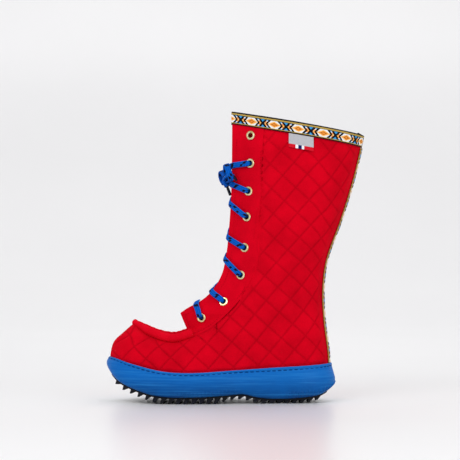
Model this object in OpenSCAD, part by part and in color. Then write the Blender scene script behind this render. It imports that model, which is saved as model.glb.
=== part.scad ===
// Laced winter boot: quilted felt upper with a turned-up beak toe, a woven ribbon round the
// rim and down the back seam, and a rubber cup sole over a studded tread.
// Frame: +Z up, toe towards -X, outer side towards -Y, origin on the ground under the boot's middle.

/* [Upper] */
// Thickness of the quilted felt and of the plain facing felt
felt = 3.2; // [2.8:0.1:3.3]
// Thickness of the lining felt
lining_felt = 2.8; // [2:0.1:3]
// Half-width of the foot at its widest
ball_half = 46.5; // [44:0.5:48]
// Half-width of the heel
heel_half = 35; // [33:0.5:37]
// Half-width of the shaft at the rim
rim_half = 46; // [43:0.5:48]
// Half the gap between the two facings
gap_half = 11; // [10:0.5:12]
// How far the toe turns towards the inner side
toe_turn = 5; // [0:0.5:6]

/* [Lacing] */
// Hole through an eyelet
eyelet_bore = 6; // [5.8:0.1:6.2]
// Outside of an eyelet's flange
eyelet_flange = 10.6; // [10:0.1:11]
// Height of an eyelet's barrel through the facing
eyelet_barrel = 4.9; // [4.8:0.1:5]
// Thickness of the drawn lace, as a round cord of the flat lace's section
lace_d = 2.6; // [2.2:0.1:2.6]

/* [Sole] */
// Thickness of the cup's wall at its top edge
wall = 2.7; // [2.4:0.1:3]
// Distance from one row of tread teeth to the next
tooth_pitch = 9; // [8:0.5:10]
// Width of one tooth across the sole
tooth_width = 10; // [8:0.5:11]
// Groove between neighbouring teeth
tooth_groove = 3; // [2:0.5:4]

/* [Trim] */
// Height of the woven ribbon round the rim
band_height = 13.5; // [12:0.5:15]
// Thickness of the woven ribbon
ribbon = 1; // [0.8:0.1:1.1]
// Width of the ribbon over the back seam
seam_ribbon_width = 16; // [12:1:18]
// Width of the side label
label_width = 28; // [22:1:30]
// Height of the side label
label_height = 15; // [12:1:18]

/* [Hidden] */

OUTER = -1;
INNER = 1;
// Gap kept between neighbouring solids
gap = 0.4;
// Half the slit between the two side panels along a seam
slit = 0.25;
// Step used to measure slopes
step = 0.4;

// Depths below the outer surface of the upper
lining_top = felt + 3 * gap;
stiffener = 1.4;
lining_base = lining_top + lining_felt;

// Levels in the sole, as fractions from its lower edge to its upper edge
floor_level = 0.23;
midsole_low = 0.26;
midsole_high = 0.55;
board_low = 0.58;
board_high = 0.63;
upper_low = 0.66;
insole_low = 0.665;
insole_high = 0.80;

// Ends of the upper's footprint
toe_x = -148.3;
heel_x = 109.5;

// Side outlines, each a list of [x, z] or [z, x] pairs with a smooth curve through them
sole_top_line = [[-152, 52], [-145, 52.5], [-124, 47], [-83, 38], [-53, 36.5], [-6, 39], [52, 42.5],
    [118, 46]];
sole_low_line = [[-152, 41], [-144, 31.5], [-136, 25], [-117, 16.5], [-97, 10.6], [-77, 8.3], [-42, 8.3],
    [-6, 10.6], [8, 11.5], [29, 7], [76, 7], [100, 10.6], [118, 19]];
tip_line = [[-150, 34], [-136, 19], [-117, 10], [-100, 4], [-84, 0], [-24, 0], [-8, 4], [10, 5.5],
    [22, 2], [30, 0], [80, 0], [98, 4], [114, 12]];
toe_line = [[toe_x, 50], [-148, 56], [-145.5, 67], [-141, 74], [-133.5, 80.5], [-120, 92]];
instep_line = [[-22, 104.5], [0, 126], [20, 150], [50, 172], [heel_x, 175]];
// Half-width of the opening in the top of the foot, where the felt meets the rolls and the facings
opening_half = [[-120, 1], [-117, 5], [-110, 10.5], [-100, 16], [-88, 20.5], [-74, 24], [-57, 26.5],
    [-38, 28], [-22, 28.5]];
toe_points = [[toe_x, 46], [-148, 56], [-145.5, 67], [-141, 74], [-133.5, 80.5], [-120, 92]];
seam_points = [[-120, 92], [-101, 78], [-76, 71], [-57, 75], [-34, 85], [-22, 93], [-3, 111], [15, 134],
    [25, 158], [28, 184], [30, 225], [34, 333]];
lining_toe_points = [[toe_x, 46], [-148, 55], [-145.5, 62], [-140, 68]];
lining_seam_points = [[-140, 68], [-118, 73], [-97, 70], [-76, 65], [-53, 69], [-29, 80], [-15, 91],
    [4, 111], [20, 134], [31, 158], [34, 184], [36, 225], [40, 332]];
front_line = [[104, -65], [110, -56], [117, -43], [124, -33.5], [131, -27.5], [140, -21], [152, -15.5],
    [166, -12.3], [181, -10], [209, -7.5], [240, -5.5], [345, -4]];
front_end_line = [[30, -45], [55, -46], [70, -50], [85, -57], [104, -65]];
back_line = [[30, heel_x], [55, 109], [95, 104], [130, 102.5], [165, 106.5], [215, 124], [262, 138.5],
    [315, 151.1]];
shaft_half = [[30, 22], [60, 27], [100, 34], [150, 38.5], [215, 42], [335, rim_half]];
tongue_points = [[-55, 80], [-50, 92], [-39, 107.5], [-22, 124], [-7, 149], [-1, 180], [2, 213], [4, 260],
    [5.5, 327]];
edge_heights = [84, 104, 117, 131, 152, 181, 213, 260, 341];

// Eyelets from the top of the lacing to the bottom, as [x, z]
eyelet_spots = [[17.5, 312], [17, 279.5], [15, 247], [13, 217], [10.5, 181], [6, 149], [-14, 118], [-40, 99]];

// The rim falls from front to back
rim_front_x = -4;
rim_front_z = 339.5;
rim_fall = 0.18;

// ---------------------------------------------------------------- curves

function clamp(v, low, high) = min(max(v, low), high);
function lerp(a, b, t) = a + (b - a) * t;
function smooth(t) = let (c = clamp(t, 0, 1)) c * c * (3 - 2 * c);
function unit(v) = v / norm(v);

// Smooth curve through points, t from 0 to 1
function spline(points, t) =
    let (n = len(points) - 1)
    let (k = clamp(floor(t * n), 0, n - 1))
    let (f = t * n - k)
    let (b = points[k])
    let (c = points[k + 1])
    let (a = k > 0 ? points[k - 1] : 2 * b - c)
    let (d = k < n - 1 ? points[k + 2] : 2 * c - b)
    0.5 * (2 * b + (c - a) * f + (2 * a - 5 * b + 4 * c - d) * f * f + (3 * b - a - 3 * c + d) * f * f * f);

// Value at a place along a list of [place, value] pairs
function secant(pairs, k) = (pairs[k + 1][1] - pairs[k][1]) / (pairs[k + 1][0] - pairs[k][0]);
function slope(pairs, k) =
    k == 0 ? secant(pairs, 0)
    : k == len(pairs) - 1 ? secant(pairs, k - 1)
    : (secant(pairs, k - 1) + secant(pairs, k)) / 2;
function piece(pairs, at, k = 0) = k >= len(pairs) - 2 || at < pairs[k + 1][0] ? k : piece(pairs, at, k + 1);
function through(pairs, place) =
    let (at = clamp(place, pairs[0][0], pairs[len(pairs) - 1][0]))
    let (k = piece(pairs, at))
    let (width = pairs[k + 1][0] - pairs[k][0])
    let (f = (at - pairs[k][0]) / width)
    let (f2 = f * f)
    let (f3 = f2 * f)
    (2 * f3 - 3 * f2 + 1) * pairs[k][1] + (f3 - 2 * f2 + f) * width * slope(pairs, k)
    + (3 * f2 - 2 * f3) * pairs[k + 1][1] + (f3 - f2) * width * slope(pairs, k + 1);

// ---------------------------------------------------------------- shape of the boot

function rim_z(x) = rim_front_z - rim_fall * (x - rim_front_x);
function front_x(z) = z < 104 ? through(front_end_line, z) : through(front_line, z);
function back_x(z) = through(back_line, z);
function level(x, f) = lerp(through(sole_low_line, x), through(sole_top_line, x), f);
function turn(x) = toe_turn * pow(max(0, -45 - x) / 105, 2);

// Half-width of the footprint, whose heel end follows the back line
function plan_half(x, end_x = heel_x) =
    let (toe_part = clamp((-55 - x) / (-55 - toe_x), 0, 1))
    let (heel_part = clamp((x - 60) / (end_x - 60), 0, 1))
    let (middle = lerp(ball_half, heel_half, smooth((x + 55) / 115)))
    middle * pow(1 - pow(toe_part, 2.4), 0.526) * pow(1 - pow(heel_part, 2.2), 0.476);

// Height of the side panel's upper seam over the foot
function foot_seam_z(x) = through([for (p = seam_points) if (p.x <= -22) p], x);

// Height at which the foot's sides would meet over the middle
function crown_z(x) =
    let (low = level(x, upper_low))
    let (share = min(0.95, through(opening_half, x) / plan_half(x)))
    x < -120 ? through(toe_line, x)
    : x > -22 ? through(instep_line, x)
    : low + (foot_seam_z(x) - low) / pow(1 - pow(share, 2.2), 0.3846);

// Half-width of the foot part and of the shaft part, and the two blended
function foot_half(x, z) =
    let (low = level(x, upper_low))
    let (r = clamp((z - low) / (crown_z(x) - low), 0, 1))
    plan_half(x, back_x(z)) * pow(1 - pow(r, 2.6), 0.4545);
function shaft_side(x, z) =
    let (w = through(shaft_half, z))
    let (t = (x - front_x(z)) / (back_x(z) - front_x(z)))
    t < 0 ? max(0, gap_half + (w - gap_half) * 2.533 * t)
    : t < 0.62 ? gap_half + (w - gap_half) * sin(90 * t / 0.62)
    : w * sqrt(max(0, 1 - pow((t - 0.62) / 0.38, 2)));
function half_at(x, z) =
    let (a = foot_half(x, z))
    let (b = shaft_side(x, z))
    let (k = max(0.01, min(8, 0.25 * max(a, b))))
    let (h = clamp(0.5 + 0.5 * (a - b) / k, 0, 1))
    lerp(b, a, h) + k * h * (1 - h);

// Outward direction of the outer surface, on the side where y is positive
function out_at(x, z) =
    let (dx = (half_at(x + step, z) - half_at(x - step, z)) / (2 * step))
    let (dz = (half_at(x, z + step) - half_at(x, z - step)) / (2 * step))
    unit([-dx, 1, -dz]);

// A point at a depth below the outer surface of one side; a seam point lies on the slit
function skin(side, p, depth, seam = false) =
    let (n = out_at(p.x, p.y))
    let (thin = 1 - 0.75 * smooth((p.y - 76) / 16) * smooth((-98 - p.x) / 12))
    let (y = seam ? slit : max(slit, half_at(p.x, p.y)))
    let (q = [p.x, y, p.y] - n * depth * thin)
    [q.x, side * max(slit, q.y) + turn(q.x), q.z];

// ---------------------------------------------------------------- solids from grids

function flat_list(lists) = [for (a = lists) for (b = a) b];
function quad(a, b, c, d, flip) = flip ? [[a, b, c], [a, c, d]] : [[a, c, b], [a, d, c]];

// A sheet with real thickness: two grids of the same size, given as rows of points
module sheet(top, under, flip = false) {
    rows = len(top);
    cols = len(top[0]);
    count = rows * cols;
    points = concat(flat_list(top), flat_list(under));
    faces = concat(
        [for (r = [0:rows - 2]) for (c = [0:cols - 2])
            for (f = quad(r * cols + c, r * cols + c + 1, (r + 1) * cols + c + 1, (r + 1) * cols + c, flip)) f],
        [for (r = [0:rows - 2]) for (c = [0:cols - 2])
            let (a = count + r * cols + c)
            for (f = quad(a, a + 1, a + cols + 1, a + cols, !flip)) f],
        [for (c = [0:cols - 2]) for (f = quad(c, count + c, count + c + 1, c + 1, flip)) f],
        [for (c = [0:cols - 2])
            let (a = (rows - 1) * cols + c)
            for (f = quad(a, count + a, count + a + 1, a + 1, !flip)) f],
        [for (r = [0:rows - 2]) for (f = quad(r * cols, count + r * cols, count + (r + 1) * cols,
            (r + 1) * cols, !flip)) f],
        [for (r = [0:rows - 2])
            let (a = r * cols + cols - 1)
            for (f = quad(a, count + a, count + a + cols, a + cols, flip)) f]
    );
    polyhedron(points, faces);
}

// A stack of closed outlines of the same count, closed at both ends by strips from side to side
module stack(rings) {
    n = len(rings[0]);
    last = (len(rings) - 1) * n;
    half = n / 2;
    faces = concat(
        [for (r = [0:len(rings) - 2]) for (i = [0:n - 1])
            let (j = (i + 1) % n)
            for (f = quad(r * n + i, r * n + j, (r + 1) * n + j, (r + 1) * n + i, true)) f],
        [for (i = [0:half - 1]) let (a = i) let (b = i + 1) let (c = (n - i - 1) % n) let (d = (n - i) % n)
            for (f = quad(a, b, c, d, false)) if (f[0] != f[1] && f[1] != f[2] && f[0] != f[2]) f],
        [for (i = [0:half - 1]) let (a = i) let (b = i + 1) let (c = (n - i - 1) % n) let (d = (n - i) % n)
            for (f = quad(last + a, last + b, last + c, last + d, true))
                if (f[0] != f[1] && f[1] != f[2] && f[0] != f[2]) f]
    );
    polyhedron(flat_list(rings), faces);
}

// A round tube along points; radii is one radius for each point
module tube(path, radii, sides = 8) {
    n = len(path);
    tangents = [for (i = [0:n - 1]) unit(path[min(i + 1, n - 1)] - path[max(i - 1, 0)])];
    start = abs(tangents[0].z) < 0.9 ? [0, 0, 1] : [1, 0, 0];
    sides_of = [for (i = 0, u = unit(cross(tangents[0], start)); i < n;
        i = i + 1, u = i < n ? unit(u - tangents[i] * (u * tangents[i])) : u) u];
    points = [for (i = [0:n - 1]) for (k = [0:sides - 1])
        let (a = 360 * k / sides)
        path[i] + radii[i] * (cos(a) * sides_of[i] + sin(a) * cross(tangents[i], sides_of[i]))];
    faces = concat(
        [for (i = [0:n - 2]) for (k = [0:sides - 1])
            let (j = (k + 1) % sides)
            for (f = quad(i * sides + k, i * sides + j, (i + 1) * sides + j, (i + 1) * sides + k, false)) f],
        [[for (k = [0:sides - 1]) k]],
        [[for (k = [sides - 1:-1:0]) (n - 1) * sides + k]]
    );
    polyhedron(points, faces);
}

function along(points, count) = [for (i = [0:count]) spline(points, i / count)];
function same(value, count) = [for (i = [0:count]) value];

// ---------------------------------------------------------------- sole

// One outline round the sole, moved outwards by out, at a level between the sole's lower and upper edge
sole_count = 72;
function outline(a) =
    let (x = lerp(toe_x, heel_x, (1 - cos(a)) / 2))
    [x, (a < 180 ? -1 : 1) * plan_half(x)];
function ring(out, f, flare = 0) = [for (i = [0:sole_count - 1])
    let (a = 360 * i / sole_count)
    let (p = outline(a))
    let (ahead = outline(a + 1))
    let (behind = outline(a - 1 + (i == 0 ? 360 : 0)))
    let (t = unit(ahead - behind))
    let (spread = 0.35 * smooth((p.x + 148) / 60) + 0.65 * smooth((p.x - 55) / 50))
    let (q = p + [t.y, -t.x] * (out + flare * spread))
    [q.x, q.y + turn(q.x), level(q.x, f)]];

module cup_sole() {
    outside = 0.7 + wall;
    color("dodgerblue")
    stack([
        ring(outside - 2.4, 0),
        ring(outside - 0.6, 0.1, 3.4),
        ring(outside, 0.3, 4.4),
        ring(outside, 0.55, 3),
        ring(outside, 0.85, 0.8),
        ring(outside - 0.5, 1),
        ring(0.7, 1),
        ring(0.7, floor_level)
    ]);
}

module midsole() {
    color("gainsboro")
    stack([ring(0.2, midsole_low), ring(0.2, midsole_high)]);
}

module lasting_board() {
    color("tan")
    stack([ring(0.2, board_low), ring(0.2, board_high)]);
}

module insole() {
    inside = lining_base + stiffener + 3;
    color("lightgray")
    stack([ring(-inside, insole_low), ring(-inside, insole_high)]);
}

// Saw-tooth tread under the cup: a thin plate with rows of forward-leaning teeth
module studded_tread() {
    start = -142;
    rows = floor((108 - start) / tooth_pitch);
    edge = 1.5;
    plate = 1.6;
    steps = 40;
    lanes = 7;
    plate_top = [for (i = [0:steps]) let (x = lerp(start - 4, 113, i / steps)) [x, level(x, 0) - 2 * gap]];
    plate_low = [for (i = [steps:-1:0]) let (x = plate_top[i].x) [x, plate_top[i].y - plate]];
    foot = [for (i = [0:sole_count - 1])
        let (a = 360 * i / sole_count)
        let (p = outline(a))
        let (ahead = outline(a + 1))
        let (behind = outline(a - 1 + (i == 0 ? 360 : 0)))
        let (t = unit(ahead - behind))
        let (q = p + [t.y, -t.x] * -edge)
        [q.x, q.y + turn(q.x)]];
    color([0.02, 0.05, 0.16])
    intersection() {
        union() {
            rotate([90, 0, 0])
            linear_extrude(height = 120, center = true)
            polygon(concat(plate_top, plate_low));
            for (lane = [0:lanes - 1])
            translate([0, (lane - (lanes - 1) / 2) * (tooth_width + tooth_groove), 0])
            rotate([90, 0, 0])
            linear_extrude(height = tooth_width, center = true)
            for (row = [0:rows - 1])
            tooth(start + tooth_pitch * (row + 0.4));
        }
        linear_extrude(height = 60)
        polygon(foot);
    }
}

// Side view of one tooth: a flat tip that leans towards the toe
module tooth(x) {
    tip = through(tip_line, x);
    root = level(x, 0) - 2 * gap - 0.8;
    lean = 0.3 * (root - tip);
    polygon([
        [x - 1.6, root],
        [x - 1.4 - lean, tip],
        [x + 0.9 - lean, tip],
        [x + 0.62 * tooth_pitch, root + (level(x + 0.62 * tooth_pitch, 0) - level(x, 0))]
    ]);
}

// ---------------------------------------------------------------- upper

// Top edge of a side panel: along the toe seam, up the facing seam, then back along the rim
facing_point = 5;
toe_share = 0.3;
seam_share = 0.74;
rim_end_x = back_x(rim_z(150));
function top_edge(seam, s) =
    let (bend = facing_point / (len(seam) - 1))
    s < toe_share ? spline(seam, bend * s / toe_share)
    : s < seam_share ? spline(seam, lerp(bend, 1, (s - toe_share) / (seam_share - toe_share)))
    : let (x = lerp(seam[len(seam) - 1].x, rim_end_x, (s - seam_share) / (1 - seam_share)))
      [x, rim_z(x) - gap];
function low_edge(s) = let (x = lerp(toe_x, heel_x, s)) [x, level(x, upper_low)];
function back_edge(t) =
    let (z = lerp(low_edge(1).y, rim_z(rim_end_x) - gap, t))
    [t == 1 ? rim_end_x : back_x(z), z];

// Side-view place inside a panel: s from toe to heel, t from the sole up
function panel_place(toe, seam, s, t) =
    let (low = low_edge(s))
    let (top = top_edge(seam, s))
    let (left = t == 0 ? low_edge(0) : spline(toe, t))
    let (right = back_edge(t))
    let (corners = (1 - s) * (1 - t) * low_edge(0) + s * (1 - t) * low_edge(1)
        + (1 - s) * t * seam[0] + s * t * back_edge(1))
    lerp(low, top, t) + lerp(left, right, s) - corners;

panel_cols = 36;
panel_rows = 12;
function panel_grid(side, toe, seam, depth, extra = 0) = [for (r = [0:panel_rows])
    [for (c = [0:panel_cols])
        let (s = lerp(c / panel_cols, (1 - cos(180 * c / panel_cols)) / 2, 0.6))
        let (p = panel_place(toe, seam, s, r / panel_rows))
        skin(side, p, depth + extra * stiffened(p), c == 0 || c == panel_cols)]];

// 1 where a stiffener lies between the felt and the lining, 0 elsewhere
function stiffened(p) = max(
    smooth((p.x - 22) / 16) * smooth((118 - p.y) / 16),
    smooth((-78 - p.x) / 14) * smooth((84 - p.y) / 8));

module side_panel(side) {
    color([0.84, 0.02, 0.12])
    sheet(
        panel_grid(side, toe_points, seam_points, 0),
        panel_grid(side, toe_points, seam_points, felt),
        side == INNER);
}

module lining(side) {
    color([0.75, 0.72, 0.68])
    sheet(
        panel_grid(side, lining_toe_points, lining_seam_points, lining_top, stiffener + 0.2),
        panel_grid(side, lining_toe_points, lining_seam_points, lining_base, 1.6),
        side == INNER);
}

// Plain felt strip between the front edge and the facing seam
facing_rows = 32;
facing_cols = 6;
function edge_at(t) =
    let (n = len(edge_heights) - 1)
    let (k = min(floor(t * n), n - 1))
    let (z = lerp(edge_heights[k], edge_heights[k + 1], t * n - k))
    [front_x(z), min(z, rim_z(front_x(z)) - gap)];
facing_start = 3.25 / (len(seam_points) - 1);
seam_clearance = 1.2;
function seam_at(t) = spline(seam_points, lerp(facing_start, 1, t));
function facing_place(t, u) =
    let (a = edge_at(t))
    let (b = seam_at(t))
    let (full = norm(b - a))
    lerp(a, b, u * (1 - seam_clearance / full));
function facing_grid(side, depth) = [for (r = [0:facing_rows])
    [for (c = [0:facing_cols]) skin(side, facing_place(r / facing_rows, c / facing_cols), depth)]];

module facing(side) {
    color([0.81, 0.02, 0.11])
    difference() {
        sheet(facing_grid(side, 0), facing_grid(side, felt), side == OUTER);
        for (spot = eyelet_spots)
        on_skin(side, spot)
        cylinder(h = 14, r = eyelet_bore / 2 + 1, center = true, $fn = 32);
    }
}

// Puts children on the outer surface at [x, z], their +Z pointing out of the boot
module on_skin(side, spot, depth = 0) {
    n = out_at(spot.x, spot.y);
    at = skin(side, spot, depth);
    translate(at)
    rotate([0, acos(n.z), atan2(side * n.y, n.x)])
    children();
}

// Padded edge that stands along the toe seam, from the beak back to the facing
function roll_radius(t) = lerp(2.4, 4, smooth(t * 3.2));
function roll_place(side, t) =
    let (p = spline(seam_points, t * 2.8 / 11))
    let (r = roll_radius(t))
    let (x = p.x + 2.4 * (1 - smooth(t * 4)))
    [x, side * max(r + slit, half_at(p.x, p.y) - 1) + turn(x), p.y + r + 1.4];

module toe_roll(side) {
    count = 22;
    color([0.84, 0.05, 0.13])
    tube(
        [for (i = [0:count]) roll_place(side, i / count)],
        [for (i = [0:count]) roll_radius(i / count) * (i == 0 ? 0.6 : 1)],
        12);
}

// Felt insert that closes the top of the toe between the two rolls
module vamp_plug() {
    rows = 16;
    cols = 12;
    function spot(r, c, depth) =
        let (p = spline(seam_points, lerp(0.7, 2.9, r / rows) / 11))
        let (half = half_at(p.x, p.y) - 4.4)
        let (v = 2 * c / cols - 1)
        let (crown = min(5, 0.22 * half) * (1 - v * v))
        [p.x, half * v + turn(p.x), p.y + 0.6 + crown - depth];
    color([0.8, 0.02, 0.11])
    sheet(
        [for (r = [0:rows]) [for (c = [0:cols]) spot(r, c, 0)]],
        [for (r = [0:rows]) [for (c = [0:cols]) spot(r, c, felt)]],
        false);
}

// Padded tongue behind the lacing, wrapped to the inside of the facings
tongue_half = 20;
function tongue_spot(t, v, depth) =
    let (p = spline(tongue_points, t))
    let (ahead = spline(tongue_points, min(1, t + 0.01)))
    let (behind = spline(tongue_points, max(0, t - 0.01)))
    let (along_it = unit(ahead - behind))
    let (inward = [along_it.y, -along_it.x])
    let (half = lerp(14, tongue_half, smooth(t * 4)))
    let (y = half * v)
    let (wrap = clamp((abs(y) + 6 - gap_half) / 29, 0, 1))
    let (q = p + inward * (80 * asin(wrap) / 90 + depth))
    [q.x, y, q.y];

module tongue() {
    rows = 20;
    cols = 10;
    color([0.78, 0.02, 0.1])
    sheet(
        [for (r = [0:rows]) [for (c = [0:cols]) tongue_spot(r / rows, 2 * c / cols - 1, 0)]],
        [for (r = [0:rows]) [for (c = [0:cols]) tongue_spot(r / rows, 2 * c / cols - 1, 3)]],
        true);
}

// Stiffeners between felt and lining, one round the heel and one round the toe
function wrap_grid(rows, cols, low, high, start_x, depth, at_heel) = [for (r = [0:rows])
    [for (c = [-cols:cols])
        let (z = lerp(low, high, r / rows))
        let (end = at_heel ? back_x(z) : toe_front_x(z))
        let (x = lerp(end, start_x, 1 - cos(90 * abs(c) / cols)))
        let (q = skin(OUTER, [x, z], depth, c == 0))
        [q.x, c == 0 ? turn(q.x) : sign(c) * (q.y - turn(q.x)) + turn(q.x), q.z]]];
function toe_front_x(z) = through([for (p = toe_line) [p.y, p.x]], z);

module heel_counter() {
    color("tan")
    sheet(
        wrap_grid(8, 16, 37, 92, 52, lining_top - 0.2, true),
        wrap_grid(8, 16, 37, 92, 52, lining_top - 0.2 + stiffener, true),
        true);
}

module toe_puff() {
    color("tan")
    sheet(
        wrap_grid(3, 12, 49, 59, -106, lining_top, false),
        wrap_grid(3, 12, 49, 59, -106, lining_top + stiffener, false),
        false);
}

// ---------------------------------------------------------------- trim

// Point at a height below the rim, f from the front edge to the back seam
function below_rim(f, drop) =
    let (x1 = lerp(rim_front_x, back_x(312), f))
    let (z1 = rim_z(x1) - drop)
    let (x2 = lerp(front_x(z1), back_x(z1), f))
    let (z2 = rim_z(x2) - drop)
    let (x3 = lerp(front_x(z2), back_x(z2), f))
    [x3, rim_z(x3) - drop];

module top_band() {
    cols = 22;
    rows = 2;
    function spot(r, c, depth) =
        let (f = sin(90 * (1 - abs(c) / cols)))
        let (p = below_rim(f, lerp(0, band_height, r / rows)))
        let (q = skin(OUTER, p, depth, c == 0))
        [q.x, c == 0 ? 0 : sign(c) * abs(q.y), q.z];
    color("goldenrod")
    sheet(
        [for (r = [0:rows]) [for (c = [-cols:cols]) spot(r, c, -gap - ribbon)]],
        [for (r = [0:rows]) [for (c = [-cols:cols]) spot(r, c, -gap)]],
        false);
}

// Place on the back of the boot where the half-width is y
function back_place(y, z, low = 60, high = 200, left = 18) =
    left == 0 ? (low + high) / 2
    : let (middle = (low + min(high, back_x(z))) / 2)
      half_at(middle, z) > y ? back_place(y, z, middle, min(high, back_x(z)), left - 1)
      : back_place(y, z, low, middle, left - 1);

module back_seam_ribbon() {
    rows = 24;
    cols = 3;
    function spot(r, c, depth) =
        let (z = lerp(level(heel_x, 1) + gap, rim_z(149) - band_height - gap, r / rows))
        let (y = seam_ribbon_width / 2 * abs(c) / cols)
        let (x = c == 0 ? back_x(z) : back_place(y, z))
        let (q = skin(OUTER, [x, z], depth, c == 0))
        [q.x, c == 0 ? 0 : sign(c) * abs(q.y), q.z];
    color("goldenrod")
    sheet(
        [for (r = [0:rows]) [for (c = [-cols:cols]) spot(r, c, -2 * gap - ribbon)]],
        [for (r = [0:rows]) [for (c = [-cols:cols]) spot(r, c, -2 * gap)]],
        true);
}

// Woven label that hangs from the band's lower edge on the outer side
label_x = 76;
label_drop = band_height + 1.4;
module side_label() {
    rows = 3;
    cols = 6;
    function spot(r, c, depth) =
        let (x = label_x + label_width * (c / cols - 0.5))
        skin(OUTER, [x, rim_z(x) - label_drop - label_height * r / rows], depth);
    color("silver")
    sheet(
        [for (r = [0:rows]) [for (c = [0:cols]) spot(r, c, -1.5)]],
        [for (r = [0:rows]) [for (c = [0:cols]) spot(r, c, -0.7)]],
        false);
}

// ---------------------------------------------------------------- lacing

module eyelet() {
    bore = eyelet_bore / 2;
    barrel = bore + 0.7;
    rise = 0.45;
    top = rise + 0.8;
    rotate_extrude($fn = 48)
    polygon([
        [bore, -eyelet_barrel], [barrel, -eyelet_barrel], [barrel, rise], [eyelet_flange / 2, rise],
        [eyelet_flange / 2, rise + 0.35], [eyelet_flange / 2 - 0.5, top], [bore + 0.5, top], [bore, top - 0.4]
    ]);
}

module washer() {
    hole = eyelet_bore / 2 + 0.8;
    rotate_extrude($fn = 48)
    translate([hole, -felt - 1.25])
    square([eyelet_flange / 2 - hole, 0.8]);
}

module eyelets(side) {
    color("khaki")
    for (spot = eyelet_spots)
    on_skin(side, spot)
    eyelet();
}

module washers(side) {
    color("khaki")
    for (spot = eyelet_spots)
    on_skin(side, spot)
    washer();
}

// A point at a depth along the middle of an eyelet; a negative depth is outside the boot
function in_eyelet(side, k, depth) =
    let (spot = eyelet_spots[k])
    let (n = out_at(spot.x, spot.y))
    skin(side, spot, 0) - depth * [n.x, side * n.y, n.z];

// A point ahead of the front edge, at a height along it and a distance from side to side
function ahead_of_edge(z, y, ahead) =
    let (t = unit([front_x(z + 2) - front_x(z - 2), 4]))
    [front_x(z) - ahead * t.y, y, z + ahead * t.x];

lace_over = lace_d / 2 + 0.7;
lace_under = eyelet_barrel + lace_d / 2 + 0.4;
over_rise = 13;
cross_rise = 12;

// A point between two side-view places, over or under the facing
function on_facing(side, a, b, t, depth) =
    let (p = lerp(a, b, t))
    let (n = out_at(p.x, p.y))
    let (q = [p.x, half_at(p.x, p.y), p.y] - n * depth)
    [q.x, side * q.y, q.z];

// Strand that leaves eyelet k, crosses over the front and comes up through the next eyelet across
function strand(side, k, lift) =
    let (spot = eyelet_spots[k])
    let (over_z = spot.y + over_rise)
    let (under_z = spot.y + over_rise + cross_rise)
    let (over = [front_x(over_z), over_z])
    let (under = [front_x(under_z), under_z])
    let (next = eyelet_spots[k - 1])
    [
        in_eyelet(side, k, 1),
        in_eyelet(side, k, -1.6),
        on_facing(side, spot, over, 0.16, -lace_over - 1.2),
        on_facing(side, spot, over, 0.42, -lace_over - 0.6),
        on_facing(side, spot, over, 0.8, -lace_over),
        ahead_of_edge(over_z + 1, side * (gap_half - 0.5), lace_over + 0.4),
        ahead_of_edge(over_z + 3.5, side * gap_half * 0.6, lift + 0.8),
        ahead_of_edge((over_z + under_z) / 2, 0, lift),
        ahead_of_edge(under_z - 3, -side * gap_half * 0.35, lift > 0 ? lift - 1.4 : -1.8),
        ahead_of_edge(under_z, -side * (gap_half - 5), -4.4),
        on_facing(-side, under, next, 0.3, lace_under - 0.6),
        on_facing(-side, under, next, 0.75, lace_under),
        in_eyelet(-side, k - 1, lace_under - 0.1),
        in_eyelet(-side, k - 1, 3.6),
    ];

// Strand from eyelet k straight across the inside to the next eyelet of the other side
function hidden_strand(side, k, lift) =
    let (a = eyelet_spots[k])
    let (b = eyelet_spots[k - 1])
    let (za = a.y + 12)
    let (zb = b.y + 4)
    [
        in_eyelet(side, k, 3.6),
        in_eyelet(side, k, lace_under - 0.1),
        on_facing(side, a, [front_x(za), za], 0.5, lace_under + 0.2),
        ahead_of_edge(za + 3, side * 6, -4.6 + lift),
        ahead_of_edge((za + zb) / 2, 0, -4.6 + lift),
        ahead_of_edge(zb - 1, -side * 6, -4.6 + lift),
        on_facing(-side, [front_x(zb), zb], b, 0.5, lace_under + 0.2),
        in_eyelet(-side, k - 1, lace_under - 0.1),
        in_eyelet(-side, k - 1, 3.6)
    ];

// Strand from the highest laced eyelet to the knot
knot_r = 4.6;
knot_at = [-14.5, 0, 264];
function knot_strand(side) =
    let (spot = eyelet_spots[1])
    let (over = [front_x(spot.y - 3), spot.y - 3])
    [
        in_eyelet(side, 1, 1),
        in_eyelet(side, 1, -1.6),
        on_facing(side, spot, over, 0.16, -lace_over - 1.2),
        on_facing(side, spot, over, 0.5, -lace_over - 0.6),
        on_facing(side, spot, over, 0.85, -lace_over),
        ahead_of_edge(over.y - 1, side * (gap_half - 1), lace_over + 1.4),
        ahead_of_edge(over.y - 3, side * 6.5, 5),
        knot_at + [3, side * 3.6, 5.2]
    ];

// Strand over the front between the two lowest eyelets
function bar_strand() =
    let (k = len(eyelet_spots) - 1)
    let (spot = eyelet_spots[k])
    let (over = [front_x(116), 116])
    let (half = [
        in_eyelet(OUTER, k, 1.4),
        in_eyelet(OUTER, k, -2),
        on_facing(OUTER, spot, over, 0.2, -lace_over - 1.5),
        on_facing(OUTER, spot, over, 0.55, -lace_over - 0.8),
        on_facing(OUTER, spot, over, 0.85, -lace_over - 0.6),
        ahead_of_edge(over.y, -(gap_half - 2), lace_over + 1)
    ])
    let (mirrored = [for (i = [len(half) - 1:-1:0]) [half[i].x, -half[i].y, half[i].z]])
    concat(half, [ahead_of_edge(over.y, 0, lace_over + 1)], mirrored);

module lace_tube(route, count = 14) {
    tube(along(route, count), same(lace_d / 2, count));
}

module lace_bar() {
    color("royalblue")
    lace_tube(bar_strand());
}

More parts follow.
